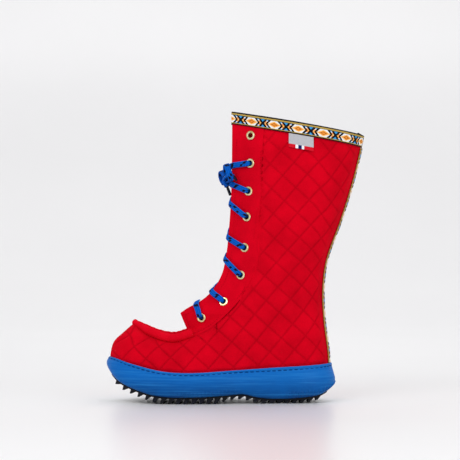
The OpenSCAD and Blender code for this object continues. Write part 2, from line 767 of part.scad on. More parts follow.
module lace_strands(side) {
    top_lift = side == OUTER ? 2.4 : -0.9;
    color("royalblue") {
        for (k = [6:-1:2])
        lace_tube(strand(side, k, top_lift));
        lace_tube(hidden_strand(side, 7, side == OUTER ? 1.6 : -1.6), 10);
        lace_tube(knot_strand(side), 12);
    }
}

module bow_knot() {
    color("mediumblue")
    translate(knot_at)
    sphere(r = knot_r, $fn = 24);
}

// Routes of the bow's free lengths
outer_loop_route = [[-14.5, -5, 266], [-15, -12, 270], [-16.5, -22, 273], [-18, -32, 271], [-18.5, -39, 265],
    [-17, -40, 258], [-15, -35, 254], [-13.5, -26, 254.5], [-13, -16, 258], [-14, -5.5, 262]];
inner_loop_route = [[-14.5, 5, 266], [-14.5, 12, 271], [-14, 22, 276], [-13.5, 32, 276], [-13.5, 39, 270.5],
    [-13, 40, 264], [-12.5, 35, 260], [-12.5, 26, 259], [-13, 16, 260], [-14, 5.5, 262]];
outer_end_route = [[-16, -3.5, 260], [-17, -9, 257], [-15.5, -16, 254.5], [-11, -23, 252.5], [-5, -29, 251],
    [1, -34, 250]];
inner_end_route = [[-16, 3.5, 260], [-18, 9, 258.5], [-17.5, 15, 255.5], [-14.5, 19, 250], [-11.5, 21, 243],
    [-9.5, 22, 236]];
aglet_length = 12;
aglet_d = 3;

module free_lace(route) {
    color("royalblue")
    lace_tube(route, 20);
}

module lace_end(route) {
    color("royalblue")
    lace_tube(route, 12);
}

// Sheathed tip that carries on in the direction of the lace's end
module aglet(route) {
    last = route[len(route) - 1];
    way = unit(last - spline(route, 0.98));
    color("midnightblue")
    translate(last + 0.3 * way)
    rotate([0, acos(way.z), atan2(way.y, way.x)])
    cylinder(h = aglet_length, d = aglet_d, $fn = 24);
}

// ---------------------------------------------------------------- what is drawn

cup_sole();
studded_tread();
midsole();
lasting_board();
insole();
side_panel(OUTER);  // outer_side_panel
side_panel(INNER);  // inner_side_panel
lining(OUTER);  // outer_lining
lining(INNER);  // inner_lining
facing(OUTER);  // outer_facing
facing(INNER);  // inner_facing
toe_roll(OUTER);  // outer_toe_roll
toe_roll(INNER);  // inner_toe_roll
vamp_plug();
tongue();
heel_counter();
toe_puff();
top_band();
back_seam_ribbon();
side_label();
eyelets(OUTER);  // outer_eyelets
eyelets(INNER);  // inner_eyelets
washers(OUTER);  // outer_washers
washers(INNER);  // inner_washers
lace_bar();
lace_strands(OUTER);  // outer_lace_strands
lace_strands(INNER);  // inner_lace_strands
bow_knot();
free_lace(outer_loop_route);  // outer_bow_loop
free_lace(inner_loop_route);  // inner_bow_loop
lace_end(outer_end_route);  // outer_lace_end
lace_end(inner_end_route);  // inner_lace_end
aglet(outer_end_route);  // outer_aglet
aglet(inner_end_route);  // inner_aglet
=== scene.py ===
"""Looks of the laced winter boot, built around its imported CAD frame. Lengths here are millimetres."""
import math

import bmesh
import bpy
import numpy as np
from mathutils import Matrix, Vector


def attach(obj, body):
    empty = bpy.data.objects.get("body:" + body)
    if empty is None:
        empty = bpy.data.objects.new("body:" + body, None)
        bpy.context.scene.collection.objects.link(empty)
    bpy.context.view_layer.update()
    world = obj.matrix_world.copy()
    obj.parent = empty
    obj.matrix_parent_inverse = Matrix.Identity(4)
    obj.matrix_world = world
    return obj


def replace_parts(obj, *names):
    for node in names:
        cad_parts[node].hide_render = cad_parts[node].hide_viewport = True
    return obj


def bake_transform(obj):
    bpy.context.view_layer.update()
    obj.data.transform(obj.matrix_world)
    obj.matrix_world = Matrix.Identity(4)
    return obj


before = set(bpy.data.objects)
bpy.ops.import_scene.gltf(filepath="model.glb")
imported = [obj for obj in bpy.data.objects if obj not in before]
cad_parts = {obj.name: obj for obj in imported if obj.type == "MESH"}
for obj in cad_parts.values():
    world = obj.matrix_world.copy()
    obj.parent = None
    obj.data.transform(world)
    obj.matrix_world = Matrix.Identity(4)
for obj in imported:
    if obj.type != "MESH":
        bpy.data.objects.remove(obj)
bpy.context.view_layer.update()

MM = 0.001
OUTER, INNER = -1, 1
SIDES = ((OUTER, "outer"), (INNER, "inner"))
rng = np.random.default_rng(11)

# ------------------------------------------------------------------ sizes of the design

FELT = 3.2
LINING_FELT = 2.8
BALL_HALF = 46.5
HEEL_HALF = 35
RIM_HALF = 46
GAP_HALF = 11
TOE_TURN = 5
EYELET_BORE = 6
EYELET_BARREL = 4.9
LACE_D = 2.6
CUP_WALL = 2.7
BAND_HEIGHT = 13.5
RIBBON = 1
SEAM_RIBBON = 16
LABEL_WIDTH = 28
LABEL_HEIGHT = 15
GAP = 0.4
SLIT = 0.25
STEP = 0.4
STIFFENER = 1.4
LINING_TOP = FELT + 3 * GAP
LINING_BASE = LINING_TOP + LINING_FELT
SOLE_FLOOR = 0.23
UPPER_LOW = 0.66
INSOLE_LOW, INSOLE_HIGH = 0.665, 0.80
TOE_X, HEEL_X = -148.3, 109.5
LACE_HALF = 3.4
LACE_THICK = 0.75
WIDEST_SHARE = 0.62
AHEAD_SLOPE = 2.533
FOOT_FRONT = -22
BEAK_X = -120
FRONT_END_Z = 104
FELT_PITCH, QUILT_PITCH, CUP_PITCH = 3.2, 3.4, 6.4
RIBBON_REPEAT = 29.2
FIRST_DIAMOND = 27
# How strongly and how dark the painted shade along the quilting channels is
CREASE_SHADE_SHARE, CREASE_SHADE = 0.36, 0.42

# Outlines in the side view, (x, z) unless their name ends in half: those are (place, half-width)
sole_top_line = [(-152, 52), (-145, 52.5), (-124, 47), (-83, 38), (-53, 36.5), (-6, 39), (52, 42.5),
                 (118, 46)]
sole_low_line = [(-152, 41), (-144, 31.5), (-136, 25), (-117, 16.5), (-97, 10.6), (-77, 8.3), (-42, 8.3),
                 (-6, 10.6), (8, 11.5), (29, 7), (76, 7), (100, 10.6), (118, 19)]
toe_line = [(TOE_X, 50), (-148, 56), (-145.5, 67), (-141, 74), (-133.5, 80.5), (BEAK_X, 92)]
instep_line = [(-22, 104.5), (0, 126), (20, 150), (50, 172), (HEEL_X, 175)]
opening_half = [(-120, 1), (-117, 5), (-110, 10.5), (-100, 16), (-88, 20.5), (-74, 24), (-57, 26.5),
                (-38, 28), (-22, 28.5)]
toe_points = [(TOE_X, 46)] + toe_line[1:]
seam_points = [(-120, 92), (-101, 78), (-76, 71), (-57, 75), (-34, 85), (-22, 93), (-3, 111), (15, 134),
               (25, 158), (28, 184), (30, 225), (34, 333)]
lining_toe_points = [(TOE_X, 46), (-148, 55), (-145.5, 62), (-140, 68)]
lining_seam_points = [(-140, 68), (-118, 73), (-97, 70), (-76, 65), (-53, 69), (-29, 80), (-15, 91),
                      (4, 111), (20, 134), (31, 158), (34, 184), (36, 225), (40, 332)]
front_line = [(104, -65), (110, -56), (117, -43), (124, -33.5), (131, -27.5), (140, -21), (152, -15.5),
              (166, -12.3), (181, -10), (209, -7.5), (240, -5.5), (345, -4)]
front_end_line = [(30, -45), (55, -46), (70, -50), (85, -57), (104, -65)]
back_line = [(30, HEEL_X), (55, 109), (95, 104), (130, 102.5), (165, 106.5), (215, 124), (262, 138.5),
             (315, 151.1)]
shaft_half = [(30, 22), (60, 27), (100, 34), (150, 38.5), (215, 42), (335, RIM_HALF)]
tongue_points = [(-55, 80), (-50, 92), (-39, 107.5), (-22, 124), (-7, 149), (-1, 180), (2, 213), (4, 260),
                 (5.5, 327)]
edge_heights = [84, 104, 117, 131, 152, 181, 213, 260, 341]
eyelet_spots = [(17.5, 312), (17, 279.5), (15, 247), (13, 217), (10.5, 181), (6, 149), (-14, 118), (-40, 99)]

# ------------------------------------------------------------------ curves


def lerp(a, b, t):
    return a + (b - a) * t


def smooth(t):
    c = np.clip(t, 0, 1)
    return c * c * (3 - 2 * c)


def unit(v):
    v = np.asarray(v, float)
    return v / np.maximum(np.linalg.norm(v, axis=-1, keepdims=True), 1e-9)


def spline(points, t):
    """Smooth curve through points, t from 0 to 1."""
    points = np.asarray(points, float)
    t = np.asarray(t, float)
    n = len(points) - 1
    k = np.clip(np.floor(t * n).astype(int), 0, n - 1)
    f = (t * n - k)[..., None]
    ends = np.vstack([2 * points[0] - points[1], points, 2 * points[-1] - points[-2]])
    a, b, c, d = (ends[k + i] for i in range(4))
    bend = (2 * a - 5 * b + 4 * c - d) * f * f
    return 0.5 * (2 * b + (c - a) * f + bend + (3 * b - a - 3 * c + d) * f**3)


def through(pairs, place):
    """Value at a place along a list of (place, value) pairs."""
    xs, ys = np.asarray(pairs, float).T
    at = np.clip(place, xs[0], xs[-1])
    k = np.clip(np.searchsorted(xs, at, side="right") - 1, 0, len(xs) - 2)
    secant = np.diff(ys) / np.diff(xs)
    slope = np.concatenate([secant[:1], (secant[:-1] + secant[1:]) / 2, secant[-1:]])
    width = xs[k + 1] - xs[k]
    f = (at - xs[k]) / width
    f2, f3 = f * f, f * f * f
    first = (2 * f3 - 3 * f2 + 1) * ys[k] + (f3 - 2 * f2 + f) * width * slope[k]
    return first + (3 * f2 - 2 * f3) * ys[k + 1] + (f3 - f2) * width * slope[k + 1]


# ------------------------------------------------------------------ shape of the boot


def rim_z(x):
    """Height of the sloping rim."""
    return 339.5 - 0.18 * (np.asarray(x, float) + 4)


def front_x(z):
    return np.where(np.asarray(z) < FRONT_END_Z, through(front_end_line, z), through(front_line, z))


def back_x(z):
    return through(back_line, z)


def level(x, f):
    """Height at a share of the cup sole's height."""
    return lerp(through(sole_low_line, x), through(sole_top_line, x), f)


def turn(x):
    """Sideways bend of the toe."""
    return TOE_TURN * (np.maximum(0, -45 - np.asarray(x, float)) / 105) ** 2


def plan_half(x, end_x=HEEL_X):
    """Half-width of the foot seen from above."""
    toe = np.clip((-55 - x) / (-55 - TOE_X), 0, 1)
    heel = np.clip((x - 60) / (end_x - 60), 0, 1)
    middle = lerp(BALL_HALF, HEEL_HALF, smooth((x + 55) / 115))
    return middle * (1 - toe**2.4) ** 0.526 * (1 - heel**2.2) ** 0.476


def foot_top(x):
    """Height of the seam over the foot."""
    return through([p for p in seam_points if p[0] <= FOOT_FRONT], x)


def seam_x(z):
    """Place of the seam up the shaft."""
    return through([(p[1], p[0]) for p in seam_points if p[0] >= FOOT_FRONT], z)


def toe_front(z):
    return through([(p[1], p[0]) for p in toe_line], z)


def crown_z(x):
    low = level(x, UPPER_LOW)
    share = np.minimum(0.95, through(opening_half, x) / np.maximum(plan_half(x), 0.01))
    crown = low + (foot_top(x) - low) / (1 - share**2.2) ** 0.3846
    crown = np.where(x > FOOT_FRONT, through(instep_line, x), crown)
    return np.where(x < BEAK_X, through(toe_line, x), crown)


def foot_half(x, z):
    low = level(x, UPPER_LOW)
    r = np.clip((z - low) / (crown_z(x) - low), 0, 1)
    return plan_half(x, back_x(z)) * (1 - r**2.6) ** 0.4545


def shaft_side(x, z):
    w = through(shaft_half, z)
    t = (x - front_x(z)) / (back_x(z) - front_x(z))
    ahead = np.maximum(0, GAP_HALF + (w - GAP_HALF) * AHEAD_SLOPE * t)
    side = GAP_HALF + (w - GAP_HALF) * np.sin(np.pi / 2 * np.clip(t, 0, 1) / WIDEST_SHARE)
    behind = w * np.sqrt(np.maximum(0, 1 - ((t - WIDEST_SHARE) / (1 - WIDEST_SHARE)) ** 2))
    return np.where(t < 0, ahead, np.where(t < WIDEST_SHARE, side, behind))


def half_at(x, z):
    """Half-width of the outer surface: foot and shaft, smoothly joined."""
    x, z = np.broadcast_arrays(np.asarray(x, float), np.asarray(z, float))
    a = foot_half(x, z)
    b = shaft_side(x, z)
    k = np.maximum(0.01, np.minimum(8, 0.25 * np.maximum(a, b)))
    h = np.clip(0.5 + 0.5 * (a - b) / k, 0, 1)
    return lerp(b, a, h) + k * h * (1 - h)


def out_at(x, z):
    """Outward direction of the outer surface on the side where y is positive."""
    dx = (half_at(x + STEP, z) - half_at(x - STEP, z)) / (2 * STEP)
    dz = (half_at(x, z + STEP) - half_at(x, z - STEP)) / (2 * STEP)
    return unit(np.stack([-dx, np.ones_like(dx), -dz], -1))


def skin(side, x, z, depth, seam=False):
    """Points at a depth below the outer surface of one side; seam points lie on the slit."""
    x, z = np.broadcast_arrays(np.asarray(x, float), np.asarray(z, float))
    thin = 1 - 0.75 * smooth((z - 76) / 16) * smooth((-98 - x) / 12)
    y = np.where(seam, SLIT, np.maximum(SLIT, half_at(x, z)))
    q = np.stack([x, y, z], -1) - out_at(x, z) * (depth * thin)[..., None]
    return np.stack([q[..., 0], side * np.maximum(SLIT, q[..., 1]) + turn(q[..., 0]), q[..., 2]], -1)


def outward(side, x, z):
    return out_at(x, z) * np.array([1, side, 1])


# ------------------------------------------------------------------ camera, floor and light

VIEW_CENTRE = (-6.5, 201.6)
VIEW_WIDTH = 542.3
LENS = 150
SENSOR = 36

camera_data = bpy.data.cameras.new("photo_camera")
camera_data.lens = LENS
camera_data.sensor_width = SENSOR
camera = bpy.data.objects.new("photo_camera", camera_data)
camera.location = (VIEW_CENTRE[0] * MM, -LENS * VIEW_WIDTH / SENSOR * MM, VIEW_CENTRE[1] * MM)
camera.rotation_euler = (math.pi / 2, 0, 0)
bpy.context.scene.collection.objects.link(camera)
bpy.context.scene.camera = camera
bpy.context.scene.view_settings.view_transform = "Standard"


def linear(r, g, b):
    """A screen colour, 0 to 255, as the linear colour that nodes take."""
    c = np.array([r, g, b]) / 255
    c = np.where(c <= 0.04045, c / 12.92, ((c + 0.055) / 1.055) ** 2.4)
    return (*map(float, c), 1.0)


def add_light(name, place, aim, size, power):
    """A rectangular studio light; places and sizes are metres."""
    data = bpy.data.lights.new(name, "AREA")
    data.shape = "RECTANGLE"
    data.size, data.size_y = size
    data.energy = power
    lamp = bpy.data.objects.new(name, data)
    lamp.location = place
    lamp.rotation_euler = (Vector(aim) - Vector(place)).to_track_quat("-Z", "Y").to_euler()
    bpy.context.scene.collection.objects.link(lamp)


world = bpy.data.worlds.new("studio")
world.use_nodes = True
background = world.node_tree.nodes["Background"]
background.inputs["Color"].default_value = (0.93, 0.94, 0.96, 1)
background.inputs["Strength"].default_value = 0.75
bpy.context.scene.world = world
for lamp_facts in (
    ("key", (-0.9, -1.5, 1.5), (0, 0, 0.15), (1.4, 1.0), 15),
    ("fill", (1.2, -1.4, 0.8), (0, 0, 0.15), (1.2, 1.2), 8),
    ("back_top", (0.3, 1.2, 1.6), (0, 0, 0.2), (1.6, 0.8), 6),
    ("wall_wash", (0, 1.5, 2.4), (0, 3.1, 0.7), (4, 0.6), 19),
):
    add_light(*lamp_facts)

# ------------------------------------------------------------------ mesh helpers


def distances(path):
    """How far along a path each of its points is."""
    return np.concatenate([[0], np.cumsum(np.linalg.norm(np.diff(path, axis=0), axis=1))])


def angles(count):
    return 2 * np.pi * np.arange(count) / count


def rounded(wave, power):
    """A sine or cosine made squarer, for a section with rounded corners."""
    return np.sign(wave) * np.abs(wave) ** power


def grid_places(rows, cols, low=0):
    """Two grids: 0 to 1 down the rows, and low to 1 across the columns."""
    return np.meshgrid(np.linspace(0, 1, rows), np.linspace(low, 1, cols), indexing="ij")


def end_caps(count, sides):
    """Faces that close the first and last of a stack of rings."""
    return [list(range(sides)), [(count - 1) * sides + k for k in range(sides)]]


def grid_faces(rows, cols, start=0, wrap=False):
    r, c = np.meshgrid(np.arange(rows - 1), np.arange(cols if wrap else cols - 1), indexing="ij")
    a = start + r * cols + c
    b = start + r * cols + (c + 1) % cols
    return np.stack([a, b, b + cols, a + cols], -1).reshape(-1, 4).tolist()


def shell_faces(rows, cols):
    """Faces of two grids of the same size joined round their border."""
    count = rows * cols
    border = np.concatenate([
        np.arange(cols),
        np.arange(1, rows) * cols + cols - 1,
        (rows - 1) * cols + np.arange(cols - 2, -1, -1),
        np.arange(rows - 2, 0, -1) * cols,
    ])
    ahead = np.roll(border, -1)
    sides = np.stack([border, ahead, ahead + count, border + count], -1).tolist()
    return grid_faces(rows, cols) + grid_faces(rows, cols, count) + sides


def add_piece(name, points, faces, material, slot, body="boot", uv=None, values=None, sharp=50):
    """A closed mesh from points in millimetres, with smooth shading up to the sharp angle."""
    points = np.asarray(points, float).reshape(-1, 3)
    mesh = bpy.data.meshes.new(name)
    mesh.from_pydata((points * MM).tolist(), [], faces)
    loops = np.zeros(len(mesh.loops), np.int32)
    mesh.loops.foreach_get("vertex_index", loops)
    if uv is not None:
        layer = mesh.uv_layers.new(name="UVMap")
        layer.data.foreach_set("uv", np.asarray(uv, np.float32).reshape(-1, 2)[loops].ravel())
    for key, value in (values or {}).items():
        attribute = mesh.attributes.new(key, "FLOAT", "POINT")
        attribute.data.foreach_set("value", np.asarray(value, np.float32).ravel())
    work = bmesh.new()
    work.from_mesh(mesh)
    bmesh.ops.recalc_face_normals(work, faces=work.faces)
    work.to_mesh(mesh)
    work.free()
    mesh.shade_smooth()
    mesh.set_sharp_from_angle(angle=math.radians(sharp))
    mesh.materials.append(material)
    obj = bpy.data.objects.new(name, mesh)
    bpy.context.scene.collection.objects.link(obj)
    if body:
        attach(obj, body)
    return obj


def add_shell(name, top, under, material, slot, **more):
    """A sheet with thickness between two grids of points."""
    rows, cols = top.shape[:2]
    if "uv" in more:
        more["uv"] = np.concatenate([more["uv"].reshape(-1, 2)] * 2)
    if "values" in more:
        more["values"] = {k: np.concatenate([v.ravel()] * 2) for k, v in more["values"].items()}
    points = np.concatenate([top.reshape(-1, 3), under.reshape(-1, 3)])
    return add_piece(name, points, shell_faces(rows, cols), material, slot, **more)


def frames(path, ups):
    """Tangent, side and up direction at each point of a path."""
    t = unit(np.gradient(path, axis=0))
    n = unit(ups - (ups * t).sum(-1, keepdims=True) * t)
    return t, np.cross(t, n), n


def swept(path, ups, half_w, half_h, sides=20, flatness=0.55):
    """Rings of a rounded flat section along a path, and the uv of each point."""
    path = np.asarray(path, float)
    count = len(path)
    _, across, up = frames(path, np.asarray(ups, float))
    a = angles(sides)
    w, h = rounded(np.cos(a), flatness), rounded(np.sin(a), 0.8)
    half_w = np.broadcast_to(np.asarray(half_w, float), count)[:, None, None]
    half_h = np.broadcast_to(np.asarray(half_h, float), count)[:, None, None]
    rings = path[:, None] + across[:, None] * w[:, None] * half_w + up[:, None] * h[:, None] * half_h
    uv = np.stack([np.repeat(distances(path), sides), np.tile(w, count)], -1)
    return rings.reshape(-1, 3), grid_faces(count, sides, wrap=True) + end_caps(count, sides), uv


def joined(parts):
    """Several (points, faces, uv) as one."""
    points, faces, uvs = zip(*parts)
    starts = np.cumsum([0] + [len(p) for p in points])
    moved = [[k + int(start) for k in face] for start, f in zip(starts, faces) for face in f]
    return np.concatenate(points), moved, np.concatenate(uvs)


def stitch_row(path, ups, pitch, share=0.68, radius=0.3, lift=0.05):
    """Thread stitches laid end to end along a path: (points, faces) of small capsules."""
    path = np.asarray(path, float)
    ups = np.asarray(ups, float)
    far = distances(path)
    count = int(far[-1] / pitch)
    if count < 1:
        return np.zeros((0, 3)), np.zeros((0, 4), int)
    middles = (np.arange(count) + 0.5) * far[-1] / count
    half = share * pitch / 2

    def at(d, rows):
        return np.stack([np.interp(d, far, rows[:, k]) for k in range(3)], -1)

    n = unit(at(middles, ups))
    t = unit(at(middles + half, path) - at(middles - half, path))
    b = np.cross(t, n)
    centre = at(middles, path) + n * lift
    sides = 6
    stations = [(-1, 0.35, -0.5), (-0.75, 0.9, -0.15), (0, 1, 0.1), (0.75, 0.9, -0.15), (1, 0.35, -0.5)]
    a = angles(sides)
    rings = []
    for along, size, sink in stations:
        ring = (b[:, None] * np.cos(a)[:, None] + n[:, None] * np.sin(a)[:, None]) * radius * size
        rings.append(centre[:, None] + t[:, None] * half * along + n[:, None] * radius * sink + ring)
    points = np.stack(rings, 1).reshape(-1, 3)
    one = np.array(grid_faces(len(stations), sides, wrap=True))
    caps = np.array([[0, 1, 2, 3], [0, 3, 4, 5]])
    last = caps + (len(stations) - 1) * sides
    one = np.concatenate([one, caps, last])
    faces = (np.arange(count)[:, None, None] * len(stations) * sides + one).reshape(-1, 4)
    return points, faces


def surface_stitches(side, x, z, depth=0.3, pitch=FELT_PITCH):
    """A stitch row along side-view places on one side of the boot."""
    return stitch_row(skin(side, x, z, depth), outward(side, x, z), pitch)


def add_stitches(name, rows, material, slot, body="boot"):
    """One piece from many stitch rows."""
    points, faces = zip(*rows)
    starts = np.cumsum([0] + [len(p) for p in points])
    moved = np.concatenate([f + start for f, start in zip(faces, starts)])
    return add_piece(name, np.concatenate(points), moved.tolist(), material, slot, body=body)


# ------------------------------------------------------------------ materials


class Nodes:
    """A material's node tree, with a short call for each kind of node."""

    def __init__(self, name, roughness=0.6, **sockets):
        self.material = bpy.data.materials.new(name)
        self.material.use_nodes = True
        self.tree = self.material.node_tree
        self.shader = self.tree.nodes["Principled BSDF"]
        self.shader.inputs["Roughness"].default_value = roughness
        for key, value in sockets.items():
            self.shader.inputs[key.replace("_", " ")].default_value = value
        self.place = self.add("ShaderNodeTexCoord").outputs["Object"]
        self.uv = self.add("ShaderNodeUVMap", uv_map="UVMap").outputs[0]

    def add(self, kind, **settings):
        node = self.tree.nodes.new(kind)
        for key, value in settings.items():
            setattr(node, key, value)
        return node

    def join(self, value, socket):
        if isinstance(value, bpy.types.NodeSocket):
            self.tree.links.new(value, socket)
        else:
            socket.default_value = value

    def math(self, operation, *values, clamp=False):
        node = self.add("ShaderNodeMath", operation=operation, use_clamp=clamp)
        for k, value in enumerate(values):
            self.join(value, node.inputs[k])
        return node.outputs[0]

    def scaled(self, vector, scale):
        node = self.add("ShaderNodeVectorMath", operation="MULTIPLY")
        self.join(vector, node.inputs[0])
        node.inputs[1].default_value = scale
        return node.outputs[0]

    def noise(self, scale, detail=3, vector=None, roughness=0.5):
        node = self.add("ShaderNodeTexNoise")
        self.join(vector or self.place, node.inputs["Vector"])
        node.inputs["Scale"].default_value = scale
        node.inputs["Detail"].default_value = detail
        node.inputs["Roughness"].default_value = roughness
        return node.outputs["Fac"]

    def spread(self, value, low, high, to_low=0.0, to_high=1.0):
        node = self.add("ShaderNodeMapRange")
        for k, v in enumerate((value, low, high, to_low, to_high)):
            self.join(v, node.inputs[k])
        return node.outputs[0]

    def mix(self, factor, a, b):
        node = self.add("ShaderNodeMix", data_type="RGBA")
        self.join(factor, node.inputs[0])
        self.join(a, node.inputs[6])
        self.join(b, node.inputs[7])
        return node.outputs[2]

    def ramp(self, value, stops, interpolation="CONSTANT"):
        node = self.add("ShaderNodeValToRGB")
        node.color_ramp.interpolation = interpolation
        marks = node.color_ramp.elements
        while len(marks) < len(stops):
            marks.new(0.5)
        for mark, (at, colour) in zip(marks, stops):
            mark.position = at
            mark.color = colour
        self.join(value, node.inputs[0])
        return node.outputs[0]

    def value(self, name):
        return self.add("ShaderNodeAttribute", attribute_name=name).outputs["Fac"]

    def split(self, vector):
        """The x, y and z of a vector."""
        node = self.add("ShaderNodeSeparateXYZ")
        self.join(vector, node.inputs[0])
        return node.outputs

    def clouded(self, value, dark, light, low=0.3, high=0.7):
        """A colour that goes from dark to light as the value goes from low to high."""
        return self.mix(self.spread(value, low, high), dark, light)

    def bump(self, height, distance, strength=1.0, normal=None):
        node = self.add("ShaderNodeBump")
        node.inputs["Strength"].default_value = strength
        node.inputs["Distance"].default_value = distance
        self.join(height, node.inputs["Height"])
        if normal is not None:
            self.join(normal, node.inputs["Normal"])
        return node.outputs[0]

    def finish(self, colour, normal=None, roughness=None):
        self.join(colour, self.shader.inputs["Base Color"])
        if normal is not None:
            self.join(normal, self.shader.inputs["Normal"])
        if roughness is not None:
            self.join(roughness, self.shader.inputs["Roughness"])
        return self.material


def felt_material(name, light, dark, painted_crease_shade=None, fuzz=1.0, sheen=0.08):
    """Fulled wool: fine matted fibres, slight cloudiness, and painted shade along the sewn channels."""
    n = Nodes(name, 0.95, Sheen_Weight=sheen, Sheen_Roughness=0.6, Sheen_Tint=light,
              Specular_IOR_Level=0.03)
    fibre = n.noise(900, 5, roughness=0.7)
    strand = n.noise(1, 4, vector=n.scaled(n.place, (2600, 2600, 500)), roughness=0.6)
    colour = n.clouded(n.noise(38, 4), dark, light)
    colour = n.mix(n.spread(fibre, 0.35, 0.75, 0, 0.35), colour, dark)
    if painted_crease_shade:
        # Painted shade: the felt is darkened along the sewn channels, where shade falls in the creases.
        shade = tuple(CREASE_SHADE * c for c in dark[:3]) + (1.0,)
        colour = n.mix(n.math("MULTIPLY", n.value(painted_crease_shade), CREASE_SHADE_SHARE), colour, shade)
    height = n.math("ADD", n.math("MULTIPLY", fibre, 0.7), n.math("MULTIPLY", strand, 0.5))
    soft = n.bump(n.noise(170, 3), 0.0006 * fuzz, 0.6)
    return n.finish(colour, n.bump(height, 0.00045 * fuzz, 0.9, soft))


def pile_material(name, light, dark, scale=420):
    """Brushed lining felt or pile."""
    n = Nodes(name, 0.97, Sheen_Weight=0.4, Sheen_Roughness=0.7)
    tuft = n.noise(scale, 6, roughness=0.75)
    soft = n.bump(n.noise(90, 3), 0.0015, 0.6)
    return n.finish(n.clouded(tuft, dark, light), n.bump(tuft, 0.0012, 0.9, soft))


def thread_material(name, light, dark):
    n = Nodes(name, 0.85, Specular_IOR_Level=0.05)
    twist = n.noise(1, 2, vector=n.scaled(n.place, (2500, 2500, 2500)))
    return n.finish(n.clouded(twist, dark, light), n.bump(twist, 0.0002, 0.8))


def brass_material(name):
    n = Nodes(name, 0.3, Metallic=1.0)
    wear = n.noise(260, 4)
    scratch = n.noise(1, 3, vector=n.scaled(n.place, (300, 3000, 3000)))
    colour = n.clouded(wear, linear(206, 190, 128), linear(246, 240, 200), 0.35)
    height = n.math("ADD", wear, n.math("MULTIPLY", scratch, 0.4))
    return n.finish(colour, n.bump(height, 0.00008, 0.6), n.spread(scratch, 0.3, 0.7, 0.2, 0.42))


def sole_material(name):
    """Blue moulded rubber: faint level streaks in its bump, lightened as painted highlights, and painted
    shade that darkens it towards the ground.
    """
    n = Nodes(name, 0.42, Coat_Weight=0.02, Coat_Roughness=0.3, Specular_IOR_Level=0.08)
    streak_and_highlight = n.noise(1, 4, vector=n.scaled(n.place, (14, 14, 520)), roughness=0.65)
    cloud = n.noise(26, 4)
    grain = n.noise(1500, 2)
    # Painted shade: darker blue over the lowest 6 to 34 mm, towards the ground.
    colour = n.clouded(n.split(n.place)[2], linear(1, 46, 100), linear(2, 98, 182), 0.006, 0.034)
    colour = n.mix(n.spread(cloud, 0.35, 0.75, 0, 0.4), colour, linear(6, 106, 190))
    # Painted highlight: lighter blue along the level streaks.
    colour = n.mix(n.spread(streak_and_highlight, 0.46, 0.8, 0, 0.55), colour, linear(46, 140, 214))
    height = n.math("ADD", n.math("MULTIPLY", streak_and_highlight, 0.8), n.math("MULTIPLY", grain, 0.25))
    return n.finish(colour, n.bump(height, 0.0006, 0.7), n.spread(cloud, 0.3, 0.7, 0.34, 0.55))


def rubber_material(name, light, dark, roughness=0.62):
    n = Nodes(name, roughness, Specular_IOR_Level=0.25)
    colour = n.clouded(n.noise(60, 3), dark, light, 0.35)
    return n.finish(colour, n.bump(n.noise(700, 4), 0.00025, 0.7))


def lace_material(name):
    """Flat braided lace: uv is millimetres along it and -1 to 1 across it."""
    n = Nodes(name, 0.75, Sheen_Weight=0.02, Sheen_Roughness=0.4, Specular_IOR_Level=0.05)
    along, across, _ = n.split(n.uv)
    slant = n.math("ADD", along, n.math("MULTIPLY", n.math("ABSOLUTE", across), 1.1))
    plait = n.math("SINE", n.math("MULTIPLY", slant, 2 * math.pi / 1.25))
    cord = n.math("SINE", n.math("MULTIPLY", across, 9.5))
    weave = n.math("ADD", n.math("MULTIPLY", n.math("ADD", plait, cord), 0.25), 0.5)
    colour = n.clouded(weave, linear(1, 60, 148), linear(3, 106, 208), 0.1, 0.9)
    cloud = n.noise(0.16, 2, vector=n.uv)
    colour = n.mix(n.spread(cloud, 0.4, 0.7, 0, 0.5), colour, linear(3, 76, 180))
    for pitch, shift, side in ((13.0, 0.3, -0.35), (17.0, 0.75, 0.4)):
        turn_in = n.math("ADD", n.math("DIVIDE", along, pitch), n.math("MULTIPLY", across, 0.16))
        part = n.math("FRACT", n.math("ADD", turn_in, shift))
        near = n.math("LESS_THAN", n.math("ABSOLUTE", n.math("SUBTRACT", part, 0.5)), 0.12)
        lane = n.math("LESS_THAN", n.math("ABSOLUTE", n.math("SUBTRACT", across, side)), 0.38)
        colour = n.mix(n.math("MULTIPLY", near, lane), colour, linear(18, 16, 30))
    return n.finish(colour, n.bump(weave, 0.0003, 0.8))


